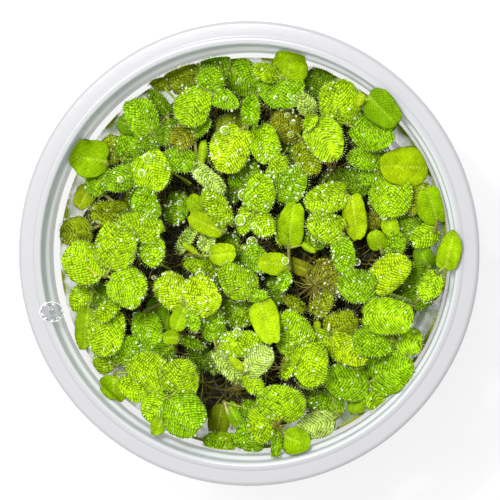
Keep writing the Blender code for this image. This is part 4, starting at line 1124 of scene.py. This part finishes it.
def halved(points, faces):
    """Each face of a ball cut in four at the middles of its edges, which are pushed out to it."""
    edges = np.sort(np.concatenate([faces[:, [0, 1]], faces[:, [1, 2]], faces[:, [2, 0]]]), axis=1)
    pairs, index = np.unique(edges, axis=0, return_inverse=True)
    middle = points[pairs].mean(axis=1)
    middle /= np.linalg.norm(middle, axis=1, keepdims=True)
    a, b, c = index.reshape(3, -1) + len(points)
    p, q, r = faces.T
    cut = [np.stack(corner, -1) for corner in ((p, a, c), (q, b, a), (r, c, b), (a, b, c))]
    return np.vstack([points, middle]), np.concatenate(cut)


def slot_of(leaves):
    """The slot for the leaf colour that covers most of the plant."""
    areas = {"leaf_lime": 0.0, "leaf_olive": 0.0, "leaf_green": 0.0}
    for leaf in leaves:
        slot = "leaf_lime" if leaf.tint in LIME_TINTS else (
            "leaf_olive" if leaf.tint in OLD_TINTS else "leaf_green")
        areas[slot] += leaf.length * leaf.half
    return max(areas, key=areas.get)


# materials


def fill(socket, value):
    """Puts a value on an input, or links an output to it, or a node's first output."""
    if isinstance(value, bpy.types.Node):
        value = value.outputs[0]
    if isinstance(value, bpy.types.NodeSocket):
        socket.id_data.links.new(value, socket)
    else:
        socket.default_value = value


def set_up(node, *inputs, **settings):
    """Fills a node's inputs in order, and its options and other inputs by name."""
    for name, value in settings.items():
        if hasattr(node, name):
            setattr(node, name, value)
        else:
            fill(node.inputs[name.replace("_", " ")], value)
    for socket, value in zip(node.inputs, inputs):
        fill(socket, value)
    return node


def new_node(tree, kind, *inputs, **settings):
    """Adds a node with its settings and links."""
    return set_up(tree.nodes.new("ShaderNode" + kind), *inputs, **settings)


def new_material(name):
    """A new material, the function that adds a node to it, and its shader."""
    material = bpy.data.materials.new(name)
    material.use_nodes = True
    tree = material.node_tree
    return material, functools.partial(new_node, tree), tree.nodes["Principled BSDF"]


def leaf_material(brightness):
    """Living leaf: a waxy blade with a fine relief. Ribs RIB_STEP apart curve off the midrib and
    break up into knobs KNOB_STEP apart, each with the foot of a hair. The relief also darkens the
    green in its troughs and lightens it on the ribs and knobs, as painted shade and painted light.
    The green has a mottle 0.9 mm wide and paler patches 3 mm wide, which also bend the ribs."""
    material, add, shader = new_material("Living leaf, ribbed and hairy")
    tint = add("Attribute", attribute_name="tint")
    rib = add("Attribute", attribute_name="rib")
    count, aside, ridged = add("SeparateXYZ", rib.outputs["Vector"]).outputs
    place = add("TexCoord").outputs["Object"]
    mottle = add("TexNoise", place, Scale=1.1 / MM, Detail=3.0, Roughness=0.6)
    patch = add("TexNoise", place, Scale=0.32 / MM, Detail=2.0)
    wander = add("Math", add("MapRange", mottle, 0.2, 0.8, -0.3, 0.3),
                 add("MapRange", patch, 0.3, 0.7, -0.28, 0.28), operation="ADD")
    bent = add("Math", count, wander, operation="ADD")
    wave = add("Math", bent, 2 * math.pi / RIB_STEP, operation="MULTIPLY")
    wave = add("Math", wave, operation="SINE")
    apart = add("Math", aside, 2 * math.pi / KNOB_STEP, operation="MULTIPLY")
    stagger = add("Math", bent, math.pi / RIB_STEP, operation="MULTIPLY")
    knob = add("Math", add("Math", apart, stagger, operation="ADD"), operation="SINE")
    knobs = add("Math", add("MapRange", wave, -1, 1, 0, 1), add("MapRange", knob, -1, 1, 0, 1),
                operation="MULTIPLY")
    knobs = add("Math", add("MapRange", knobs, 0, 0.45, -0.6, 0.7),
                add("MapRange", ridged, 0, 1, 1, 0.3), operation="MULTIPLY")
    ridges = add("Math", add("MapRange", wave, -1, 0.1, -1, 0.6),
                 add("MapRange", ridged, 0, 1, 0.3, 0.65), operation="MULTIPLY")
    relief = add("Math", ridges, knobs, operation="ADD")
    relief = add("Math", relief, add("MapRange", mottle, 0.3, 0.7, -0.9, 0.9), operation="ADD")
    relief = add("Math", relief, tint.outputs["Alpha"], operation="MULTIPLY")
    # painted shade and light: the colour follows the relief, darker in the troughs and lighter on
    # ribs and knobs; the mottle and patches are the leaf's own tone
    level = add("Math", add("MapRange", relief, -1.3, 1.3, 0.3, 1.68),
                add("MapRange", patch, 0.3, 0.7, 0.76, 1.22), operation="MULTIPLY")
    level = add("Math", level, brightness, operation="MULTIPLY")
    set_up(shader, Base_Color=add("VectorMath", tint, operation="SCALE", Scale=level),
           Normal=add("Bump", Height=relief, Strength=1.0, Distance=0.1 * MM),
           Roughness=0.45, Specular_IOR_Level=0.03)
    return material


def hair_material():
    """Leaf hairs: clear, water-repelling cells that look white-green."""
    material, add, shader = new_material("Leaf hairs, clear and waxy")
    set_up(shader, Base_Color=add("Attribute", attribute_name="tint"), Roughness=0.35)
    return material


def root_material():
    """Stalks, rhizomes and roots: fibrous plant stem, darker where it is old, with its fibres in
    bundles 1.4 mm long. One material for all pieces that need it."""
    name = "Plant stem and root fibre"
    if name in bpy.data.materials:
        return bpy.data.materials[name]
    material, add, shader = new_material(name)
    tint = add("Attribute", attribute_name="tint")
    fibre = add("TexNoise", add("TexCoord").outputs["Object"], Scale=0.7 / MM, Detail=2.0)
    level = add("MapRange", fibre, 0.3, 0.7, 0.7, 1.25)
    set_up(shader, Base_Color=add("VectorMath", tint, operation="SCALE", Scale=level),
           Roughness=0.55)
    return material


def plastic_material():
    """Clear polystyrene, moulded: thin and colourless. Its grey at the bends and edges is painted
    reflection and shade, set for each band of its section, and it covers more where it is seen
    edge-on, a painted reflection too.
    A fine moulding ripple 1.5 mm wide breaks its highlights."""
    material, add, shader = new_material("Clear polystyrene, moulded")
    tint = add("Attribute", attribute_name="tint")
    ripple = add("TexNoise", add("TexCoord").outputs["Object"], Scale=0.65 / MM, Detail=1.0)
    # painted reflection: the plastic covers more where it is seen edge-on
    slant = add("LayerWeight", Blend=0.5).outputs["Facing"]
    cover = add("Math", tint.outputs["Alpha"], add("MapRange", slant, 0.86, 1.0, 0.0, 0.6),
                operation="ADD")
    set_up(shader, Base_Color=tint, Alpha=add("Math", cover, 1.0, operation="MINIMUM"),
           Normal=add("Bump", Height=ripple, Strength=0.12, Distance=0.2 * MM),
           Roughness=0.2, IOR=1.57, Specular_IOR_Level=0.3)
    return material


def water_material():
    """Still water: clear and smooth, and green in patches 5.6 mm wide: partly the faint green of
    what grows in it, and partly painted shade of the depth under its top beside the mat.
    Ripples 4.5 mm wide break its highlights."""
    material, add, shader = new_material("Still water, faintly green")
    tint = add("Attribute", attribute_name="tint")
    place = add("TexCoord").outputs["Object"]
    ripple = add("TexNoise", place, Scale=0.22 / MM, Detail=1.0)
    patch = add("TexNoise", place, Scale=0.18 / MM, Detail=3.0)
    # the cover is partly the water's faint green and partly painted shade of the depth under it
    cover = add("Math", tint.outputs["Alpha"], add("MapRange", patch, 0.38, 0.62, 0.15, 1.7),
                operation="MULTIPLY")
    set_up(shader, Base_Color=tint, Alpha=cover,
           Normal=add("Bump", Height=ripple, Strength=0.10, Distance=0.3 * MM),
           Roughness=0.03, IOR=1.333, Specular_IOR_Level=0.25)
    return material


def drop_material():
    """Beads of water on waxy hairs: the green of what lies under each is painted into its middle,
    and a painted highlight, white and glowing, lies at its edge and in glints 0.7 mm apart."""
    material, add, shader = new_material("Water beads, green within and silver at the edge")
    tint = add("Attribute", attribute_name="tint")
    glint = add("TexNoise", add("TexCoord").outputs["Object"], Scale=1.4 / MM, Detail=1.0)
    slant = add("LayerWeight", Blend=0.5).outputs["Facing"]
    # painted highlight: the edge and the glints turn the colour white and make it glow
    edge = add("Math", slant, add("MapRange", glint, 0.52, 0.68, -0.05, 0.4), operation="ADD")
    colour = add("MixRGB", add("MapRange", edge, 0.45, 0.7, 1, 0), (1, 1, 1, 1), tint)
    set_up(shader, Base_Color=colour, Alpha=add("MapRange", edge, 0.3, 0.7, 0.3, 0.95),
           Emission_Color=colour, Emission_Strength=add("MapRange", edge, 0.45, 0.75, 0.03, 0.5),
           Roughness=0.04, IOR=1.6)
    return material


def floor_material(colour, glow):
    """Frosted white acrylic lit from below: shadows on it stay pale. Its tooth is drawn 2.5 mm
    wide, coarser than the real one, so that it shows."""
    material, add, shader = new_material("Frosted white acrylic, lit from below")
    tooth = add("TexNoise", add("TexCoord").outputs["Object"], Scale=0.4 / MM)
    set_up(shader, Base_Color=(*colour, 1), Roughness=0.9,
           Normal=add("Bump", Height=tooth, Strength=0.05, Distance=0.1 * MM),
           Emission_Color=(1, 1, 1, 1), Emission_Strength=glow)
    return material


# what a user would change


class SalviniaCup(bpy.types.PropertyGroup):
    """The cup's facets and how clear it is"""

    steps: IntProperty(name="Steps", description="Facets round the cup", default=128, min=48)
    cover: FloatProperty(name="Cover", description="How much the plastic hides", default=1.0,
                         min=0.1, max=2.0, subtype="FACTOR")


class SalviniaPlants(bpy.types.PropertyGroup):
    """The hairs and the colours of the plants"""

    hair_length: FloatProperty(name="Hair length", description="Length of the leaf hairs",
                               default=0.75 * MM, min=0.0, max=2 * MM, unit="LENGTH")
    brightness: FloatProperty(name="Brightness", description="Level of the leaf colours",
                              default=1.27, min=0.2, max=2.0, subtype="FACTOR")


class SalviniaWater(bpy.types.PropertyGroup):
    """The water's look beside the mat"""

    colour: FloatVectorProperty(name="Colour", description="Colour of the water", subtype="COLOR",
                                default=tuple(linear("4E6E08")), min=0, max=1)
    cover: FloatProperty(name="Cover", description="How much the water hides", default=0.46,
                         min=0.0, max=1.0, subtype="FACTOR")


class SalviniaDrops(bpy.types.PropertyGroup):
    """How many small drops there are, and their width"""

    share: FloatProperty(name="Drops", description="Share of the hairs that hold a drop",
                         default=0.13, min=0.0, max=1.0, subtype="FACTOR")
    width: FloatProperty(name="Width", description="Width of the widest small drop",
                         default=0.58 * MM, min=0.1 * MM, max=2 * MM, unit="LENGTH")


class SalviniaRoots(bpy.types.PropertyGroup):
    """The threads that drift under the mat"""

    threads: IntProperty(name="Threads", description="Number of drifting root threads",
                         default=2600, min=0)
    colour: FloatVectorProperty(name="Colour", description="Colour of the root threads",
                                subtype="COLOR", default=tuple(linear("665F10")), min=0, max=1)


class SalviniaStage(bpy.types.PropertyGroup):
    """The floor and the light"""

    floor: FloatVectorProperty(name="Floor", description="Colour of the floor", subtype="COLOR",
                               default=(0.28, 0.28, 0.28), min=0, max=1)
    light: FloatProperty(name="Light", description="Power of the soft light", default=4.4,
                         min=0.0, subtype="POWER")
    sky: FloatProperty(name="Sky", description="Strength of the even light", default=0.8, min=0.0)
    glow: FloatProperty(name="Glow", description="Light that comes up through the floor",
                        default=0.72, min=0.0)


class SALVINIA_OT_cup(bpy.types.Operator):
    """Make the clear moulded cup"""

    bl_idname = "salvinia.cup"
    bl_label = "Make cup"

    def execute(self, context):
        sizes = context.scene.salvinia_cup
        # the looks carry painted reflection and shade at the cup's bends and edges
        looks = [(*linear(CUP_LOOKS[look][0]), min(1, CUP_LOOKS[look][1] * sizes.cover))
                 for _, _, look in CUP_SECTION]
        mesh = turned(CUP_SECTION, looks, sizes.steps).mesh("cup_fine")
        add_piece("cup_fine", mesh, "clear_plastic", [plastic_material()], ["cup"])
        return {"FINISHED"}


class SALVINIA_OT_water(bpy.types.Operator):
    """Make the water, with the rise at the wall"""

    bl_idname = "salvinia.water"
    bl_label = "Make water"

    def execute(self, context):
        look = context.scene.salvinia_water
        top, line = np.array(look.colour), linear(COLOURS["water line"])
        looks = []
        for radius, height, edge in WATER_SECTION:
            cover = COVER_BODY
            if height > SURFACE_HEIGHT:
                # the top beside the mat covers more: painted shade of the depth under it, with the
                # water's faint green
                cover = look.cover if radius > MAT_RADIUS else COVER_MIDDLE
            # painted reflection and shade: the line at the wall takes the dark olive water line
            # colour
            colour = top * (1 - edge) + line * edge
            looks.append((*colour, cover * (1 - edge) + COVER_LINE * edge))
        mesh = turned(WATER_SECTION, looks, WATER_STEPS).mesh("water_fine")
        add_piece("water_fine", mesh, "water", [water_material()], ["water"])
        return {"FINISHED"}


class SALVINIA_OT_plants(bpy.types.Operator):
    """Make the plants of the mat"""

    bl_idname = "salvinia.plants"
    bl_label = "Make plants"

    def execute(self, context):
        look = context.scene.salvinia_plants
        plants, mat = settle()
        materials = [leaf_material(look.brightness), hair_material(), root_material()]
        rng, shade = np.random.default_rng(SEEDS["plants"]), light_in(mat)
        for number, (crowns, leaves, root) in enumerate(plants, 1):
            name = f"plant_{number:02d}"
            shape = plant_shape(crowns, leaves, root, rng, look.hair_length / MM, shade)
            add_piece(name + "_fine", shape.mesh(name), slot_of(leaves), materials, [name])
        return {"FINISHED"}


class SALVINIA_OT_drops(bpy.types.Operator):
    """Make the drops of water: round ones at hair tips, more of them near the middle, the larger
    ones listed, and a flat one on the flange"""

    bl_idname = "salvinia.drops"
    bl_label = "Make drops"

    def execute(self, context):
        look = context.scene.salvinia_drops
        plants, mat = settle()
        rng = np.random.default_rng(SEEDS["drops"])
        tips = hair_tips(plants, context.scene.salvinia_plants.hair_length / MM)
        middle = np.hypot(tips[:, 0], tips[:, 1]) < DROP_MIDDLE
        tips = tips[rng.uniform(0, 1, len(tips)) < look.share * np.where(middle, *DROP_SHARES)]
        large = np.array(DROPS)
        heights = mat.top[mat.index(large[:, 0], large[:, 1])] + large[:, 2] * 0.3
        places = np.vstack([tips, np.column_stack([large[:, :2], heights]), FLANGE_DROP])
        small = rng.uniform(0.4, 1, len(tips)) * look.width / MM
        widths = np.concatenate([small, large[:, 2], [FLANGE_DROP_WIDTH]])
        radius = widths[:, None] / 2 * np.ones(3)
        radius[-1] *= FLANGE_DROP_FORM
        ball, faces = unit_ball()
        points = places[:, None] + ball * radius[:, None]
        start = np.arange(len(places))[:, None, None] * len(ball)
        counts = np.array((len(tips), len(large), 1)) * len(ball)
        # painted light: a highlight on the small drops, the leaf green seen through the large ones,
        # and shade on the flange drop
        tint = np.repeat([opaque(kind + " drop") for kind in ("small", "large", "flange")],
                         counts, axis=0)
        shape = Shape()
        shape.add(points, (faces + start).reshape(-1, 3), 0, tint)
        add_piece("drops", shape.mesh("drops"), "water", [drop_material()])
        return {"FINISHED"}


class SALVINIA_OT_stems(bpy.types.Operator):
    """Make the loose stems and the fans of bared roots that lie on the mat"""

    bl_idname = "salvinia.stems"
    bl_label = "Make loose stems"

    def execute(self, context):
        mat = settle()[1]
        rng = np.random.default_rng(SEEDS["stems"])
        shape = Shape()
        for fan in FANS:
            add_fan(shape, mat, rng, *fan)
        for width, colour, *places in STEMS:
            share = np.linspace(0, len(places) - 1, 9)
            x, y = (np.interp(share, range(len(places)), column) for column in zip(*places))
            z = mat.top[mat.index(x, y)]
            z = np.convolve(np.pad(z, 2, mode="edge"), np.ones(5) / 5, mode="valid") + 0.15
            add_tube(shape, np.column_stack([x, y, z]), width / 2, 0, (*linear(colour), 1), 7)
        add_piece("loose_stems", shape.mesh("loose_stems"), "leaf_olive", [root_material()])
        return {"FINISHED"}


class SALVINIA_OT_roots(bpy.types.Operator):
    """Make the roots under the mat: the felt of old ones and the threads that drift below it"""

    bl_idname = "salvinia.roots"
    bl_label = "Make roots"

    def execute(self, context):
        look = context.scene.salvinia_roots
        felt, threads = Shape(), Shape()
        felt.add(*felt_surface(), 0, opaque("felt"))
        add_piece("root_felt", felt.mesh("root_felt"), "leaf_olive", [root_material()])
        rng, radii = np.random.default_rng(SEEDS["threads"]), np.linspace(*DRIFT_RADII, 6)
        for _ in range(look.threads):
            tint = (*(np.array(look.colour) * rng.uniform(0.15, 1.0) ** 2 * 2.6), 1)
            add_tube(threads, drifting(rng), radii, 0, tint, 3)
        add_piece("root_threads", threads.mesh("root_threads"), "leaf_olive", [root_material()])
        return {"FINISHED"}


class SALVINIA_OT_stage(bpy.types.Operator):
    """Make the floor, the soft light and the camera"""

    bl_idname = "salvinia.stage"
    bl_label = "Make stage"

    def execute(self, context):
        look = context.scene.salvinia_stage
        self.add_floor(context, floor_material(look.floor, look.glow))
        for light in LIGHTS:
            self.add_light(context, look.light, *light)
        world = bpy.data.worlds.new("Even light")
        world.use_nodes = True
        set_up(world.node_tree.nodes["Background"], Color=(1, 1, 1, 1), Strength=look.sky)
        context.scene.world = world
        context.scene.view_settings.view_transform = "Standard"
        self.add_camera(context)
        return {"FINISHED"}

    def add_floor(self, context, material):
        """A level floor just under the cup."""
        side = np.linspace(-FLOOR_HALF, FLOOR_HALF, FLOOR_POINTS)
        x, y = np.meshgrid(side, side, indexing="ij")
        shape = Shape()
        shape.add(np.stack([x, y, np.full_like(x, FLOOR_HEIGHT)], -1),
                  grid_faces(FLOOR_POINTS, FLOOR_POINTS))
        floor = bpy.data.objects.new("Floor", shape.mesh("Floor"))
        context.scene.collection.objects.link(floor)
        floor.data.materials.append(material)

    def add_light(self, context, power, name, width, share, place):
        """A round light that faces the cup."""
        lamp = bpy.data.lights.new(name, "AREA")
        lamp.shape, lamp.size, lamp.energy = "DISK", width, power * share
        light = bpy.data.objects.new(name, lamp)
        light.location = place
        away = Vector(place) - Vector(LIGHT_AIM)
        light.rotation_euler = away.to_track_quat("Z", "Y").to_euler()
        context.scene.collection.objects.link(light)

    def add_camera(self, context):
        """The photograph's view: almost straight down, leaning to +X by 7.7 degrees."""
        away = Vector((math.sin(CAMERA_LEAN), math.sin(CAMERA_TIP) * math.cos(CAMERA_LEAN),
                       math.cos(CAMERA_LEAN) * math.cos(CAMERA_TIP)))
        lens = bpy.data.cameras.new("Camera")
        lens.sensor_width, lens.lens = CAMERA_SENSOR, CAMERA_LENS
        lens.clip_start, lens.clip_end = 0.01, 10.0
        camera = bpy.data.objects.new("Camera", lens)
        context.scene.collection.objects.link(camera)
        camera.location = Vector(CAMERA_AIM) * MM + away * (CAMERA_AWAY * MM)
        right = Vector((0, 1, 0)).cross(away).normalized()
        turn = Matrix((right, away.cross(right), away)).transposed()
        camera.rotation_euler = turn.to_euler()
        context.scene.camera = camera


class SALVINIA_PT_panel(bpy.types.Panel):
    """The sizes, looks and steps of the salvinia"""

    bl_idname = "SALVINIA_PT_panel"
    bl_label = "Salvinia"
    bl_space_type = "VIEW_3D"
    bl_region_type = "UI"
    bl_category = "Salvinia"

    def draw(self, context):
        for name, group in GROUPS.items():
            column = self.layout.column()
            for key in group.__annotations__:
                column.prop(getattr(context.scene, name), key)
        for operator in OPERATORS:
            self.layout.operator(operator.bl_idname)


GROUPS = {"salvinia_cup": SalviniaCup, "salvinia_water": SalviniaWater,
          "salvinia_plants": SalviniaPlants, "salvinia_drops": SalviniaDrops,
          "salvinia_roots": SalviniaRoots, "salvinia_stage": SalviniaStage}
OPERATORS = (SALVINIA_OT_cup, SALVINIA_OT_water, SALVINIA_OT_plants, SALVINIA_OT_drops,
             SALVINIA_OT_stems, SALVINIA_OT_roots, SALVINIA_OT_stage)


def register():
    """Registers the classes and gives the scene their values."""
    for cls in (*GROUPS.values(), *OPERATORS, SALVINIA_PT_panel):
        bpy.utils.register_class(cls)
    for name, group in GROUPS.items():
        setattr(bpy.types.Scene, name, PointerProperty(type=group))


def unregister():
    """Takes the values and the classes away again."""
    for name in GROUPS:
        delattr(bpy.types.Scene, name)
    for cls in (SALVINIA_PT_panel, *OPERATORS, *GROUPS.values()):
        bpy.utils.unregister_class(cls)


def main():
    """Registers the add-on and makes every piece."""
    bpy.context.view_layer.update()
    register()
    bpy.ops.salvinia.cup()
    bpy.ops.salvinia.water()
    bpy.ops.salvinia.plants()
    bpy.ops.salvinia.drops()
    bpy.ops.salvinia.stems()
    bpy.ops.salvinia.roots()
    bpy.ops.salvinia.stage()


if __name__ == "__main__":
    main()
